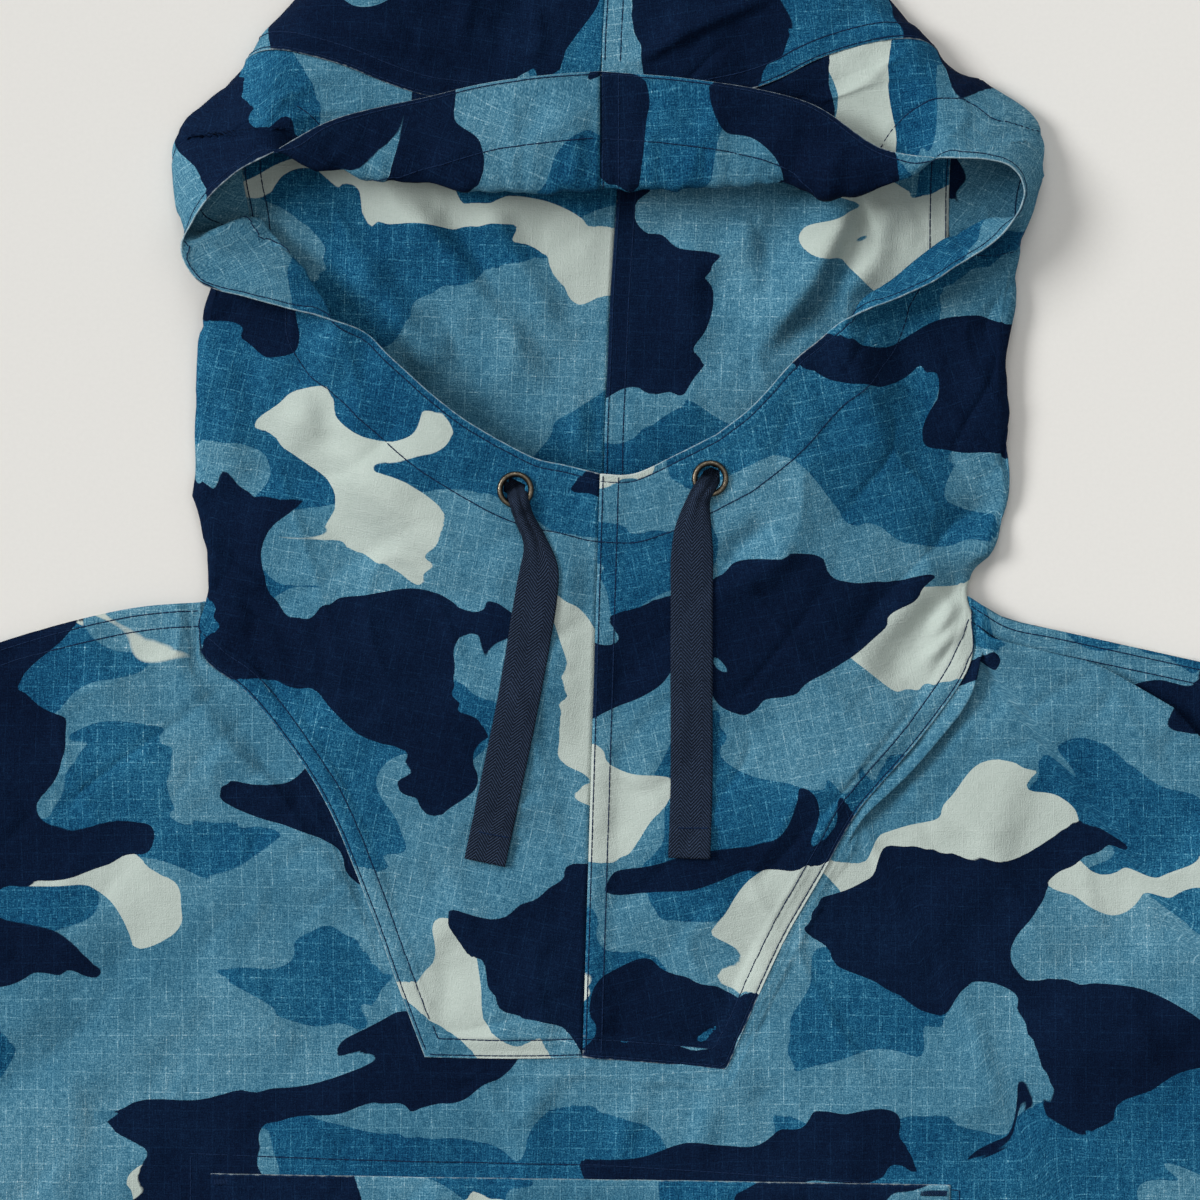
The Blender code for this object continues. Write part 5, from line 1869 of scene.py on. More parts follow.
@dataclass
class BodyFront(ClothPiece):
    """Front panel with the notch that takes the hood's chest inset.

    under: how far its allowance reaches under the inset, in tucked columns. step: between fine rows.
    near and run: how far from the seam the finely divided strip reaches, and the turn of a fold. flap:
    y on the right seam and distance from it of the fold that stands along it. slouch: crest of the
    fold that laps over the right shoulder. origin: place on the cloth.
    """

    rests_on = ("body_back",)

    sides: dict[Side, HoodSide]
    columns: int = 136
    tucked: int = 5
    under: float = 7.0
    origin: Place = (1081.0, 1422.0)
    step: float = 4.1
    near: float = 27.0
    run: float = 2.6
    flap: Path = ((-84, 2.6), (-74, 3.2), (-66, 4.4), (-52, 5.4), (-34, 6.6), (-27, 6.0), (-18, 2.4))
    slouch: Path = ((126, -7), (138.6, -11.5), (149.4, -14.4), (164.2, -18), (174.2, -20.2), (182.2, -23.4),
                    (194, -30.2), (205.9, -37.1), (216, -48.2), (232, -66), (250, -84), (290, -124))
    panel: Optional[Panel] = None

    def half(self, side: Side) -> Array:
        """Lays out one half, from the hem's middle to the shoulder.

        Args:
            side: The half.

        Returns:
            Rows by columns of x, y, the same on the flat cloth, height over the front and how far
            creases are kept away.
        """
        front = self.sides[side]
        inner = np.array([with_height(row[SEAM]) for row in front.table[:INSET_ROWS]])[:, :2]
        edge = np.array([(side.value * abs(x) if k else x, y) for k, (x, y) in enumerate(BODY_EDGE)], float)
        shoulder = np.array(SHOULDER_LEFT if side is Side.LEFT else SHOULDER_RIGHT, float)
        controls = np.stack([inner, (inner + edge) / 2, edge], axis=1)
        scale = RowScale.of(controls, self.step, (CORNER_ROW, SIDE_CORNER_ROW))
        scale.finer(INSET_ROWS - 3, 2.4 if side is Side.RIGHT else 1.5)
        fine = scale.spread(controls)
        start, end = fine[:, 0], fine[:, 2]
        total = np.linalg.norm(end - start, axis=1, keepdims=True)
        direction = (end - start) / total
        flap = np.array(self.flap)
        crest = np.interp(start[:, 1], flap[:, 0], flap[:, 1])[:, None]
        to_crest, turn, after = (np.linspace(0, 1, count)[None, :-1] for count in (15, 14, 20))
        beyond = crest + self.run + (self.near - crest - self.run) * after**1.4
        base = np.concatenate([crest * to_crest, crest + self.run * turn, beyond], axis=1)
        outer = np.linspace(0, 1, self.columns - self.tucked - base.shape[1]) ** 1.15
        base = np.concatenate([base, self.near + (total - self.near) * outer[None]], axis=1)
        rows = start[:, None] + direction[:, None] * base[..., None]
        curved = smooth_line(np.concatenate([inner[-1:], shoulder, edge[-1:]]))
        curved = at_lengths(curved, base[-1] / total[-1] * lengths(curved)[-1])
        last = scale.index(INSET_ROWS - 2)
        weight = np.clip((np.arange(len(rows)) - last) / (len(rows) - 1 - last), 0, 1) ** 2
        rows += weight[:, None, None] * (curved - rows[-1])[None]
        state = np.concatenate([rows, rows, np.zeros((*rows.shape[:2], 2))], axis=2)
        if side is Side.RIGHT:
            amount = (ease((start[:, 1] + 84) / 14) * ease((-13 - start[:, 1]) / 7))[:, None]
            place, height = laid_over(base, crest, self.run, np.full_like(crest, self.near), 3.4, 1.5, 2.6)
            state[..., :2] += direction[:, None] * (amount * (place - base))[..., None]
            state[..., 4] += amount * height
            cloth = lengths(np.stack([base + amount * (place - base), amount * height], axis=2), axis=1)
            state[..., 2:4] += direction[:, None] * (cloth - base)[..., None]
            state[..., 5] = amount * bump_at(base, crest[..., 0][:, None] + 2.5, 6.0)
            state = self.slouched(state, scale.index(INSET_ROWS - 2) - 6)
        under = self.under * (1 - 0.75 * ease((start[:, 1] + 26) / 22))
        inward = np.linspace(1, 0, self.tucked + 1)[None, :-1, None]
        tucked = start[:, None] - (direction * under[:, None])[:, None] * inward
        tucked = np.concatenate([tucked, tucked, np.zeros((*tucked.shape[:2], 2))], axis=2)
        return np.concatenate([tucked, state], axis=1)

    def slouched(self, state: Array, first: int) -> Array:
        """Folds the cloth over the right shoulder.

        Args:
            state: Rows by columns of x, y, the same on the flat cloth, height over the front and how
                far creases are kept away.
            first: Row from which the cloth is pulled up to the fold.

        Returns:
            The same, with the last rows drawn together round the fold.
        """
        lines = state[first:]
        count = len(lines)
        crest_line = np.array(self.slouch, float)
        folded = []
        for column in lines.transpose(1, 0, 2):
            along = lengths(column[:, :2])
            above = column[:, 1] - np.interp(column[:, 0], crest_line[:, 0], crest_line[:, 1])
            crest = float(np.interp(0.0, np.maximum.accumulate(above), along))
            crest = float(np.clip(crest, 0.25 * along[-1], along[-1] - self.run - 1.5))
            x = float(np.interp(crest, along, column[:, 0]))
            amount = float(ease((x - 134) / 9) * (1 - ease((x - 214) / 24)))
            spread = float(1 - ease((x - 214) / 44))
            turn, after = np.linspace(0, 1, 13)[:-1], np.linspace(crest + self.run, along[-1], 15)
            before = np.linspace(0, 1, count - len(turn) - len(after) + 1)[:-1] ** 0.8
            base = np.concatenate([crest * before, crest + self.run * turn, after])
            base = spread * base + (1 - spread) * along
            place, height = laid_over(base, crest, self.run, along[-1] + 1e-3, 5.0, 3.4, 1.3)
            place = base + amount * (place - base)
            beyond = ease((base - crest) / self.run)
            height = amount * height
            extra = lengths(np.stack([place, height], axis=1)) - base
            ahead = read_at(units(np.gradient(column[:, :2], axis=0)), along, base)
            new = read_at(column, along, place)
            new[:, 2:4] = read_at(column[:, 2:4], along, base) + extra[:, None] * ahead
            new[:, 4] += height
            kept = np.maximum(bump_at(base, crest + self.run, 7.0), beyond)
            new[:, 5] = np.maximum(new[:, 5], amount * kept)
            folded.append(new)
        return np.concatenate([state[:first], np.array(folded).transpose(1, 0, 2)])

    def shape(self) -> None:
        """Works out the panel's bent and flat form."""
        flat = np.concatenate([self.half(Side.LEFT)[::-1], self.half(Side.RIGHT)[1:]])
        x, y = flat[..., 0], flat[..., 1]
        tucked = np.arange(self.columns)[None] < self.tucked
        heights = front_height(x, y) - np.where(tucked, 0.95, 0.0) + flat[..., 4]
        points = np.stack([x, y, heights], axis=2)
        drift = [1.6 * lattice_noise(x / 70 + k, y / 60 - k, 81 + k) for k in (0, 1)]
        cloth = np.stack([flat[..., 2 + k] + drift[k] + self.origin[k] for k in (0, 1)], axis=-1)
        self.panel = Panel(points, cloth, np.zeros(x.shape), outward=-1)
        from_seam = lengths(points, axis=1) - lengths(points, axis=1)[:, self.tucked : self.tucked + 1]
        seam_along = np.broadcast_to(lengths(points[:, self.tucked])[:, None], x.shape)
        down = lengths(points, axis=0)
        free = ease((from_seam - 1) / 10) * (1 - 0.85 * flat[..., 5])
        heights = lifted(WASHED_COTTON, *cloth.transpose(2, 0, 1)) * free
        heights += pucker(from_seam, seam_along, 2.0, Ripples.NOTCH) * 0.7 * (from_seam > 0)
        heights += 0.3 * bump_at(from_seam, 6.5, 1.3)
        creases = lifted(FRONT_CREASES + BODY_CREASES, x, y)
        heights += creases * ease(from_seam / 5) * (1 - 0.85 * flat[..., 5])
        to_hem = y - HEM_Y
        heights += 0.4 * (1 - ease((to_hem - HEM_ROWS[1]) / 2))
        heights += pucker(to_hem, x + 400, HEM_ROWS[1], Ripples.HEM)
        edge = np.minimum(down, down[-1:] - down)
        heights += pucker(edge, from_seam, 5.0, Ripples.SHOULDER)
        self.panel.points[..., 2] += np.maximum(heights, -1.2)
        wear = 0.16 * bump_at(from_seam, 6.5, 0.8) + 0.9 * (1 - ease(to_hem / 1.2))
        self.panel.wear = np.clip(wear, 0, 1)

    def stitch(self, stitches: Stitches) -> None:
        """Sews the hem and the shoulders.

        Args:
            stitches: Where the rows are gathered.
        """
        panel = self.panel
        y = panel.points[..., 1]
        low = [row for row in range(len(y)) if y[row, -1] < HEM_Y + 4]
        for inset in HEM_ROWS:
            columns = [np.interp(-(HEM_Y + inset), -y[row], np.arange(self.columns)) for row in low]
            stitches.on_panel(panel, [(float(row), float(column)) for row, column in zip(low, columns)])
        for end in (False, True):
            away = panel.from_side(0, end)
            for distance in SHOULDER_ROWS:
                stitches.on_panel(panel, panel.column_line(away, distance, end, slice(8, self.columns - 2)))

    def names(self) -> tuple[str, str]:
        """Names of the piece and of its solid."""
        return "body_front_panel", "body_front"


@dataclass
class BodyBack(ClothPiece):
    """Back panel, flat on the surface. origin: place on the cloth."""

    across: int = 72
    tall: int = 84
    origin: Place = (2600.0, 1700.0)
    panel: Optional[Panel] = None

    def shape(self) -> None:
        """Works out the panel's form between its four edges."""
        neck = [row[SEAM][:2] for row in (LEFT_SIDE_PANEL[11], LEFT_SIDE_PANEL[12])]
        neck += [LEFT_BACK_PANEL[0][0][:2], LEFT_BACK_PANEL[0][1][:2], (1, -12.6)]
        neck += [RIGHT_BACK_PANEL[0][1][:2], RIGHT_BACK_PANEL[0][0][:2]]
        neck += [row[SEAM][:2] for row in (RIGHT_SIDE_PANEL[12], RIGHT_SIDE_PANEL[11])]
        left_edge = [BODY_EDGE[k] for k in range(len(BODY_EDGE) - 1, SIDE_CORNER_ROW - 1, -1)]
        x, y = left_edge[0]
        top = [(x, y), *SHOULDER_LEFT[::-1], *neck, *SHOULDER_RIGHT, (-x, y)]
        top, left = (
            at_lengths(line, np.linspace(0, lengths(line)[-1], count))
            for line, count in ((np.array(top, float), self.across), (np.array(left_edge, float), self.tall))
        )
        right = left * (-1, 1)
        x = np.linspace(left[-1, 0], right[-1, 0], self.across)
        bottom = np.stack([x, HEM_Y + 3 * np.abs(x / 311) ** 3], axis=1)
        u, v = np.linspace(0, 1, self.across)[None, :, None], np.linspace(0, 1, self.tall)[:, None, None]
        corners = (top[0] * (1 - u) + top[-1] * u) * (1 - v) + (bottom[0] * (1 - u) + bottom[-1] * u) * v
        flat = top[None] * (1 - v) + bottom[None] * v + left[:, None] * (1 - u) + right[:, None] * u - corners
        x, y = flat[..., 0], flat[..., 1]
        cloth = flat + self.origin
        points = np.concatenate([flat, np.full((*x.shape, 1), FLOOR)], axis=2)
        heights = lifted(WASHED_COTTON, x + 500, y)
        points[..., 2] += 0.25 * np.abs(heights)
        self.panel = Panel(points, cloth, np.zeros(x.shape), outward=1)
        self.panel.keep_above(0.3)

    def stitch(self, stitches: Stitches) -> None:
        """Sews the hem, on the under side.

        Args:
            stitches: Where the rows are gathered.
        """
        away = self.panel.from_side(0, True)
        for inset in HEM_ROWS:
            stitches.on_panel(self.panel, self.panel.column_line(away, inset, True, slice(0, self.across)))

    def names(self) -> tuple[str, str]:
        """Names of the piece and of its solid."""
        return "body_back_panel", "body_back"


@dataclass
class Sleeve(ClothPiece):
    """A one-piece sleeve, flattened, with its seam on the inner side and a turned cuff.

    origin: place on the cloth. around: points of a section. step: between fine rows.
    """

    side: Side
    origin: Place
    around: int = 96
    step: float = 7.0
    panel: Optional[Panel] = None

    def shape(self) -> None:
        """Works out the sleeve's form."""
        sign = self.side.value
        half = self.around // 2
        angle = math.pi - 2 * np.pi * np.arange(self.around) / self.around
        across = np.sign(np.cos(angle)) * np.abs(np.cos(angle)) ** 0.85
        bulge = np.abs(np.sin(angle)) ** 0.6
        rings = []
        for outer, inner, loft in SLEEVE_RINGS:
            start, end = np.array([sign * outer[0], outer[1]]), np.array([sign * inner[0], inner[1]])
            place = (start + end) / 2 + (start - end)[None] / 2 * across[:, None]
            top = FLOOR + 0.9 + (loft - 0.9) * bulge
            low = FLOOR + 0.9 * (1 - np.minimum(1, 3 * np.abs(np.sin(angle))))
            rings.append(np.column_stack([place, np.where(np.sin(angle) > 1e-6, top, low)]))
        controls = np.array(rings)
        points = RowScale.of(controls, self.step).spread(controls)
        axis = points[-1, :, :2].mean(axis=0) - points[0, :, :2].mean(axis=0)
        axis = axis / np.linalg.norm(axis)
        aside = points[..., 0] * -axis[1] + points[..., 1] * axis[0]
        aside[:, half:] = 2 * aside[:, half : half + 1] - aside[:, half:]
        ahead = points[..., 0] * axis[0] + points[..., 1] * axis[1]
        cloth = np.stack([aside + self.origin[0], ahead + self.origin[1]], axis=-1)
        round_way = lengths(points, axis=1)
        middle = lengths(points, axis=0)
        self.panel = Panel(points, cloth, np.zeros(round_way.shape), outward=sign, ring=True)
        upper = ease((points[..., 2] - 1.6) / 1.2)
        elbow = bump_at(middle, 270, 90)
        heights = 1.3 * lifted(WASHED_COTTON, *cloth.transpose(2, 0, 1))
        heights += elbow * 1.3 * lattice_noise(round_way / 60, middle / 17 + round_way / 55, 97 + sign)
        end = middle[-1:] - middle
        heights += 0.4 * (1 - ease((end - CUFF_ROWS[1]) / 2))
        heights += pucker(end, round_way, CUFF_ROWS[1], Ripples.CUFF)
        for k, row in enumerate(ARMHOLE_ROWS):
            heights += pucker(middle, round_way, row, Ripples.ARMHOLE + 2 * k)
        self.panel.points[..., 2] += upper * np.maximum(heights, -0.9)
        self.panel.keep_above(0.3)
        self.panel.wear = np.clip(0.9 * (1 - ease(end / 1.2)), 0, 1)

    def stitch(self, stitches: Stitches) -> None:
        """Sews the armhole and the cuff.

        Args:
            stitches: Where the rows are gathered.
        """
        panel, columns = self.panel, slice(2, self.around - 2)
        for rows, end in ((ARMHOLE_ROWS, False), (CUFF_ROWS, True)):
            for inset in rows:
                stitches.on_panel(panel, panel.column_line(panel.from_side(0, end), inset, end, columns))

    def names(self) -> tuple[str, str]:
        """Names of the piece and of its solid."""
        return f"sleeve_{self.side.label}_tube", f"sleeve_{self.side.label}"


@dataclass
class Surface:
    """The upper surface of some panels, asked for its height."""

    tree: BVHTree

    @classmethod
    def over(cls, *panels: Panel) -> "Surface":
        """Joins panels.

        Args:
            panels: The panels.

        Returns:
            Their surface.
        """
        points, faces, start = [], [], 0
        for panel in panels:
            rows, columns = panel.points.shape[:2]
            index = start + np.arange(rows * columns).reshape(rows, columns)
            quads = np.stack([index[:-1, :-1], index[:-1, 1:], index[1:, 1:], index[1:, :-1]], axis=-1)
            points += panel.points.reshape(-1, 3).tolist()
            faces += quads.reshape(-1, 4).tolist()
            start += rows * columns
        return cls(BVHTree.FromPolygons(points, faces))

    def height(self, x: float, y: float) -> float:
        """Height of the topmost cloth at a place."""
        hit = self.tree.ray_cast(Vector((x, y, 300.0)), Vector((0, 0, -1)))[0]
        return hit.z if hit else FLOOR

    def line(self, path: Path, step: float = 1.2) -> Array:
        """Lays a line on the surface.

        Args:
            path: x, y of its corners.
            step: How far apart its places are.

        Returns:
            Its places.
        """
        flat = np.asarray(path, float)
        total = lengths(flat)[-1]
        flat = at_lengths(flat, np.linspace(0, total, max(3, int(total / step))))
        return np.array([(x, y, self.height(x, y)) for x, y in flat])


@dataclass
class PocketWelt:
    """Welt of the pocket's opening, sewn on the front.

    tilt: how far its right end lies below its left. stand: height of its middle over the front. rows:
    from its top edge to its rows of stitches. bag and bag_corner: left, right, top and bottom of the
    pocket bag's outline and the size of its lower corners. origin: place on the cloth.
    """

    width: float = 266.0
    height: float = 28.0
    top_y: float = -204.5
    centre_x: float = -7.0
    tilt: float = -4.0
    stand: float = 0.42
    rows: Place = (1.6, 8.0)
    bag: tuple[float, ...] = (-147.3, 129.2, -197.4, -392.0)
    bag_corner: float = 16.0
    origin: Place = (5200.0, 3100.0)
    panel: Optional[Panel] = None

    def edge(self, part: float, down: float) -> Place:
        """x, y at a part of the width and a distance below the top edge."""
        return self.centre_x + (part - 0.5) * self.width, self.top_y + self.tilt * part - down

    def shape(self, surface: Surface) -> None:
        """Works out the welt's form.

        Args:
            surface: The front that it lies on.
        """
        across, down = np.linspace(0, 1, 190), np.linspace(0, self.height, 26)
        grid = np.array([[(*self.edge(part, drop), 0.0) for part in across] for drop in down])
        x, y = grid[..., 0], grid[..., 1]
        under = np.array([[surface.height(a, b) for a, b in zip(p, q)] for p, q in zip(x, y)])
        from_top, from_left = y[:1] - y, x - x[:, :1]
        edge = np.minimum.reduce([from_top, self.height - from_top, from_left, self.width - from_left])
        grid[..., 2] = under + self.stand + 0.4 * ease(edge / 1.5)
        for k, row in enumerate(self.rows):
            grid[..., 2] += 0.5 * pucker(from_top, x + 500, row, Ripples.WELT + 2 * k)
        wear = 0.8 * (1 - ease(from_top / 0.9)) + 0.25 * bump_at(from_top, 2.9, 0.6)
        wear = wear + 0.3 * (1 - ease(edge / 0.8))
        self.panel = Panel(grid, grid[..., :2] + self.origin, np.clip(wear, 0, 1), outward=-1)

    def stitch(self, stitches: Stitches, front: Surface) -> None:
        """Sews the welt and the outline of the pocket bag, and tacks the welt's ends.

        Args:
            stitches: Where the rows are gathered.
            front: The surface that the outline lies on.
        """
        panel = self.panel
        for inset, end in ((self.rows[0], False), (self.rows[1], False), (self.rows[0], True)):
            line = panel.column_line(panel.from_side(0, end), inset, end, slice(2, panel.points.shape[1] - 2))
            stitches.on_panel(panel, line)
        for end in (False, True):
            line = panel.row_line(panel.from_side(1, end), 1.8, end, slice(1, len(panel.points) - 1))
            stitches.on_panel(panel, line)
        left, right, top, bottom = self.bag
        size, cut = self.bag_corner, 5
        outline = [(left, top), (-90, -199.5), (0, -201.5), (72, -206), (right, -210.5)]
        outline += [(right, bottom + size), (right - cut, bottom + cut), (right - size, bottom)]
        outline += [(left + size, bottom), (left + cut, bottom + cut), (left, bottom + size), (left, top)]
        line = front.line(outline)
        stitches.along(line, np.broadcast_to(UP, line.shape))
        for part, sign in ((0.0, 1), (1.0, -1)):
            for down in (3.0, self.height - 4.5):
                x, y = self.edge(part, down)
                z = front.height(x + sign * 5, y) + 1.15
                stitches.bar_tack(np.array([x + sign * 1.5, y, z]), np.array([sign * 9.0, 0.0, 0.0]))

    def build(self, cotton: Material) -> Object:
        """Makes the sheet.

        Args:
            cotton: Its finish.

        Returns:
            The object.
        """
        name, solid = "pocket_opening_welt", "pocket_welt"
        made = cloth_object(name, self.panel, cotton, [solid], WELT_WALL)
        return made


@dataclass
class Eyelet:
    """A two-part rolled eyelet turned about an upright axis.

    Its flange lies on the cloth and its barrel goes through to a washer on the inner face.
    """

    side: Side
    place: Place
    seat: float = 0.0
    outer: float = 6.35
    hole: float = 4.3
    height: float = 1.7
    depth: float = 2.4
    steps: int = 72

    def outline(self) -> Array:
        """Draws the section, from the washer up the barrel and over the flange.

        Returns:
            Radius, height and wear of its points.
        """
        middle = (self.hole + 0.55 + self.outer) / 2
        half = (self.outer - self.hole - 0.1) / 2
        turns = np.linspace(0.0, math.pi, 15)
        top = [(middle - half * math.cos(t), 0.25 + self.height * 0.86 * math.sin(t) ** 0.8) for t in turns]
        points = [(self.hole + 0.5, -self.depth), (self.hole + 0.12, -self.depth * 0.6), (self.hole, -0.4)]
        points += [(max(r, self.hole), z) for r, z in top]
        points += [(self.outer, 0.0), (self.hole + 0.9, -0.05), (self.hole + 0.55, -0.5)]
        points += [(self.hole + 0.6, -0.95), (self.outer - 0.2, -1.0), (self.outer - 0.5, -1.5)]
        points += [(self.hole + 1.2, -self.depth - 0.1)]
        found = np.array(points)
        wear = bump_at(found[:, 0], middle + 0.25, 0.75) * ease((found[:, 1] - 0.7) / 0.6)
        return np.column_stack([found, 0.15 + 0.85 * wear])

    def build(self, brass: Material) -> Object:
        """Turns the section into the eyelet.

        Args:
            brass: Its finish.

        Returns:
            The object.
        """
        outline = self.outline()
        turn = 2 * np.pi * np.arange(self.steps)[:, None] / self.steps
        radius, height = outline[None, :, 0], np.broadcast_to(outline[None, :, 1], (self.steps, len(outline)))
        points = np.stack([np.cos(turn) * radius, np.sin(turn) * radius, height], axis=2)
        index = np.arange(self.steps * len(outline)).reshape(self.steps, -1)
        ahead, down = np.roll(index, -1, axis=0), np.roll(index, -1, axis=1)
        faces = np.stack([index, ahead, np.roll(ahead, -1, axis=1), down], axis=-1).reshape(-1, 4)
        vertices = to_world(points.reshape(-1, 3) + (*self.place, self.seat))
        name, solid = f"eyelet_ring_{self.side.label}", f"eyelet_{self.side.label}"
        made = make_object(name, vertices, faces[:, ::-1], brass, [solid])
        set_wear(made, np.tile(outline[:, 2], self.steps))
        LOG.info("%s: %d faces", name, len(faces))
        return made


@dataclass
class Drawcord:
    """A free end of the flat drawcord, gathered where it comes out of its eyelet."""

    side: Side
    width: float = 15.0
    thickness: float = 1.0
    hem: float = 12.0
    across: int = 17
    step: float = 1.1
    panel: Optional[Panel] = None

    def shape(self, surface: Surface, eyelet: Eyelet) -> None:
        """Works out the tape's form, from inside its eyelet to its free end.

        Args:
            surface: The front that it lies on.
            eyelet: The eyelet that it comes out of.
        """
        route = smooth_line(CORD_ROUTES[self.side])
        total = lengths(route[:, :2])[-1]
        along = np.linspace(0, total, int(total / self.step))
        line = at_lengths(route[:, :2], along)
        widths = np.interp(along, lengths(route[:, :2]), route[:, 2])
        ahead = units(np.gradient(line, axis=0))
        aside = np.stack([ahead[:, 1], -ahead[:, 0]], axis=1)
        part = np.linspace(-1, 1, self.across)
        place = line[:, None] + aside[:, None] * (part[None, :, None] * widths[:, None, None] / 2)
        under = np.array([[surface.height(x, y) for x, y in row] for row in place])
        lying = even_out(np.maximum(under, under.mean(axis=1, keepdims=True) - 0.4)[..., None], 2.5)[..., 0]
        z = np.maximum(lying, under) + self.thickness / 2 + 0.3
        gathered = (self.width - widths)[:, None] / self.width
        fold = 3.4 * gathered * (1 - part[None] ** 2) + 0.9 * gathered * np.sin(part[None] * 7)
        over_ring = eyelet.seat + eyelet.height + self.thickness / 2 + 0.25
        from_ring = np.hypot(place[..., 0] - eyelet.place[0], place[..., 1] - eyelet.place[1])
        on_ring = 1 - ease((from_ring - eyelet.outer) / 3.5)
        z = np.maximum(z, z * (1 - on_ring) + over_ring * on_ring)
        in_hole = 1 - ease((along[:, None] - 2.0) / 6.2)
        z = z * (1 - in_hole) + (eyelet.seat - 5.0) * in_hole + fold * (1 - 0.6 * in_hole)
        z = z + 1.1 * ease((along[:, None] - (total - self.hem)) / 0.9)
        points = np.concatenate([place, z[..., None]], axis=2)
        real = lengths(points, axis=0).mean(axis=1)
        aside = part[None] * self.width / 2 + self.width / 2
        cloth = np.stack(np.broadcast_arrays(aside, real[:, None]), axis=-1)
        self.panel = Panel(points, cloth, np.zeros(z.shape))
        if self.panel.normals()[..., 2].mean() < 0:
            self.panel.outward = -1

    def stitch(self, stitches: Stitches) -> None:
        """Sews the end's turning down.

        Args:
            stitches: Where the rows are gathered.
        """
        panel = self.panel
        line = panel.column_line(panel.from_side(0, True), self.hem - 1.0, True, slice(1, self.across - 1))
        points, normals = (np.array(found) for found in zip(*(panel.at(*place) for place in line)))
        stitches.along(points + normals * (self.thickness - CLOTH_WALL) / 2, normals)

    def build(self, tape: Material) -> Object:
        """Makes the cord.

        Args:
            tape: Its finish.

        Returns:
            The object.
        """
        name, solid = f"drawcord_tape_{self.side.label}", f"drawcord_{self.side.label}"
        made = cloth_object(name, self.panel, tape, [solid], self.thickness)
        centre = self.panel.points.mean(axis=1)
        length = float(lengths(centre)[-1] * MM)
        return made


@dataclass(frozen=True)
class Studio:
    """Pale paper, a big soft light from the upper left and a camera straight over the upper half."""

    centre: Place = (0.0, 0.2068)
    frame_width: float = 0.432
    height: float = 3.0
    key_towards: Triple = (0.80, -0.22, -0.62)
    second_towards: Triple = (0.05, -0.75, -0.75)
    top_place: Triple = (0.5, 0.1, 2.4)

    def build(self, paper: Material) -> None:
        """Makes the floor, the lights and the camera.

        Args:
            paper: The floor's finish.
        """
        mesh = bpy.data.meshes.new("studio_floor")
        half = self.height
        corners = [(-half, -half, 0), (half, -half, 0), (half, half, 0), (-half, half, 0)]
        mesh.from_pydata(corners, [], [(0, 1, 2, 3)])
        mesh.materials.append(paper)
        self.staged("studio_floor", mesh).location.z = -0.0002
        self.lamp("key_light", "SUN", 2.4, self.key_towards, angle=math.radians(24.0))
        self.lamp("second_light", "SUN", 0.65, self.second_towards, angle=math.radians(30.0))
        x, y, z = self.top_place
        towards = (self.centre[0] - x, self.centre[1] - y, -z)
        lamp = self.lamp("top_light", "AREA", 9.0, towards, shape="SQUARE", size=1.8)
        lamp.location = self.top_place
        world = bpy.data.worlds.new("studio_world")
        world.use_nodes = True
        backdrop = world.node_tree.nodes["Background"].inputs
        backdrop["Color"].default_value = linear("#f4f5f6")
        backdrop["Strength"].default_value = 0.24
        scene = bpy.context.scene
        scene.world = world
        scene.view_settings.view_transform = "Standard"
        data = bpy.data.cameras.new("overhead_camera")
        data.sensor_width = 36.0
        data.lens = data.sensor_width * self.height / self.frame_width
        data.dof.use_dof = False
        scene.camera = self.staged("overhead_camera", data)
        scene.camera.location = (*self.centre, self.height)

    def staged(self, name: str, data: bpy.types.ID) -> Object:
        """Puts an object on the stage.

        Args:
            name: Its name.
            data: Its mesh, light or camera.

        Returns:
            The object.
        """
        made = bpy.data.objects.new(name, data)
        bpy.context.scene.collection.objects.link(made)
        made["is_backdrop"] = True
        return made

    def lamp(self, name: str, kind: str, power: float, towards: Triple, **settings) -> Object:
        """Adds a soft box.

        Args:
            name: Its name.
            kind: "SUN" for one so far off that it lights the whole frame alike, or "AREA".
            power: Its strength.
            towards: Which way it shines.
            settings: Its size.

        Returns:
            The object.
        """
        data = bpy.data.lights.new(name, kind)
        for key, value in {"energy": power, **settings}.items():
            setattr(data, key, value)
        made = self.staged(name, data)
        made.rotation_euler = Vector(towards).to_track_quat("-Z", "Y").to_euler()
        return made


def box_line(name: str, box: tuple[Vector, Vector]) -> dict:
    low, high = box
    return {"box": name, "low": [round(v, 5) for v in low], "high": [round(v, 5) for v in high]}


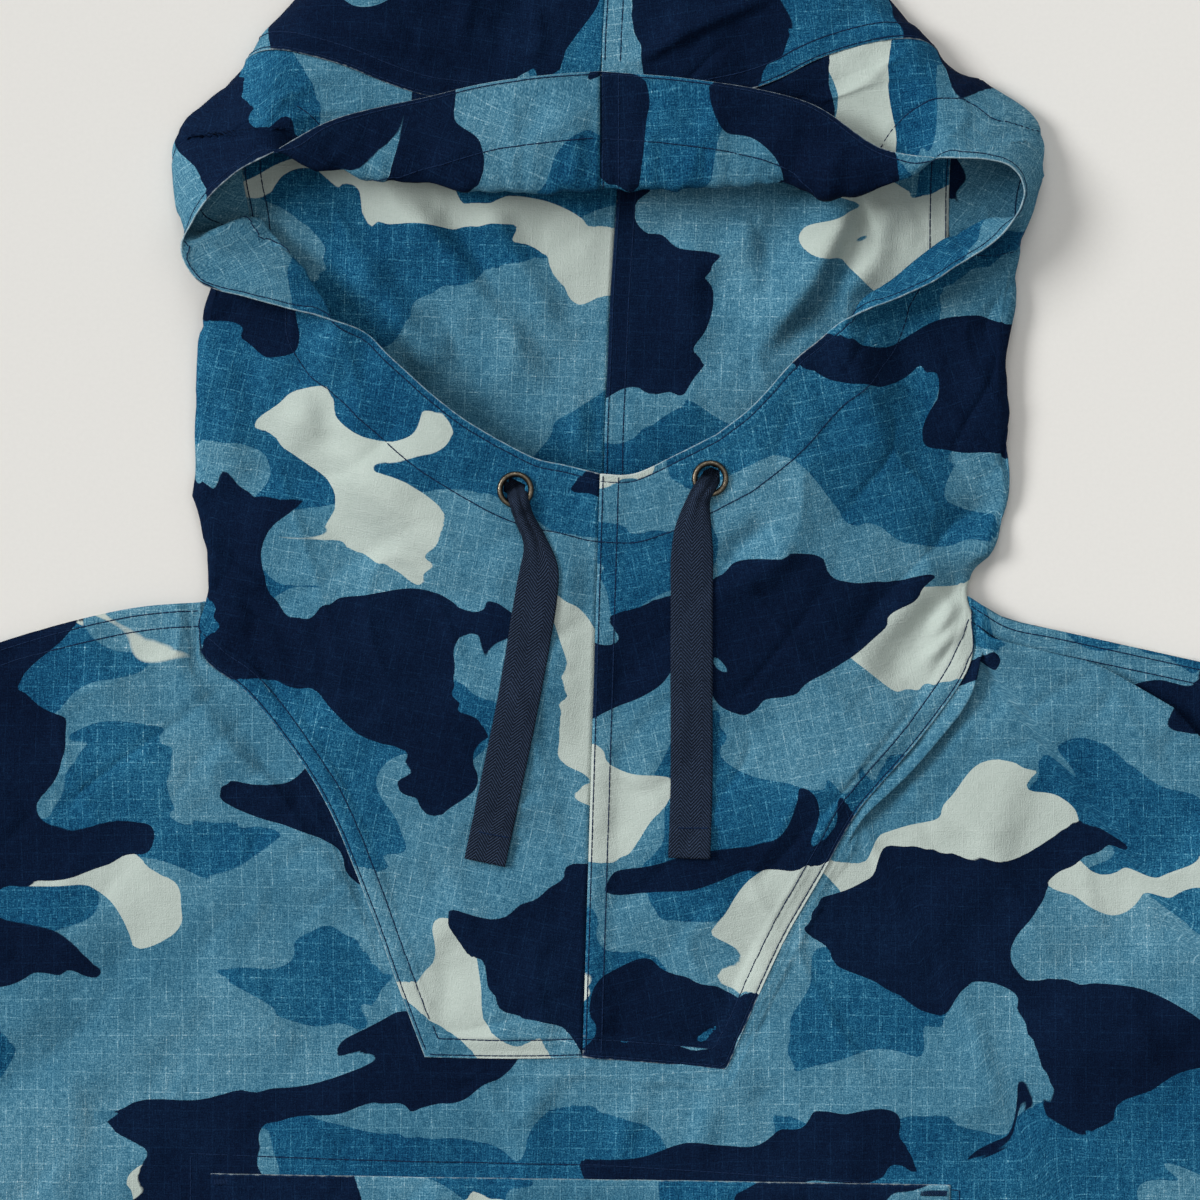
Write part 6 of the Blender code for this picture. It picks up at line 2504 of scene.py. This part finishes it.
def main() -> None:
    """Builds the garment piece by piece and reports each."""
    logging.basicConfig(level=logging.INFO, format="%(name)s %(message)s")
    cotton = CamouflageRipstop().material()
    tape = HerringboneTape().material()
    brass = AntiqueBrass().material()
    topstitching = Stitches("topstitching")

    left = HoodSide(
        Side.LEFT, LEFT_SIDE_PANEL, LEFT_HOOD_CREASES, grain=100.0, origin=(1424.0, 207.0),
        eyelet=(-30.2, 41.2), tuck=((-158, 169.5), (-137, 170), (-112, 171), (-97, 174)), tuck_rows=(23, 27),
        tuck_depth=4.0,
    )
    right = HoodSide(
        Side.RIGHT, RIGHT_SIDE_PANEL, RIGHT_HOOD_CREASES, grain=76.0, origin=(95.0, 1436.0),
        eyelet=(39.4, 45.2), tuck=((129, 161), (136, 163.8), (141.5, 165), (151.6, 166.3), (158, 162)),
        tuck_rows=(21, 25), tuck_depth=2.6,
    )
    body = BodyFront({Side.LEFT: left, Side.RIGHT: right})
    pieces = [
        left,
        right,
        HoodBack(Side.LEFT, LEFT_BACK_PANEL, left, origin=(-451.0, -754.0)),
        HoodBack(Side.RIGHT, RIGHT_BACK_PANEL, right, origin=(1147.0, 945.0)),
        body,
        BodyBack(),
        Sleeve(Side.LEFT, origin=(1900.0, -800.0)),
        Sleeve(Side.RIGHT, origin=(2300.0, 700.0)),
    ]
    for piece in pieces:
        piece.shape()
        piece.stitch(topstitching)
    front = Surface.over(body.panel)
    welt = PocketWelt()
    welt.shape(front)
    welt.stitch(topstitching, front)
    for piece in (*pieces, welt):
        piece.build(cotton)
    hood = Surface.over(left.panel, right.panel)
    for panel in (left, right):
        ring, cord = Eyelet(panel.side, panel.eyelet, panel.seat), Drawcord(panel.side)
        ring.build(brass)
        cord.shape(hood, ring)
        cord.stitch(topstitching)
        cord.build(tape)
    topstitching.build(SewingThread().material())

    Studio().build(StudioPaper().material())
    bpy.context.view_layer.update()
    for name, box in (("cad", CAD_BOX), ("visual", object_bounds())):
        json.dumps(box_line(name, box)) + "\n"


if __name__ == "__main__":
    main()
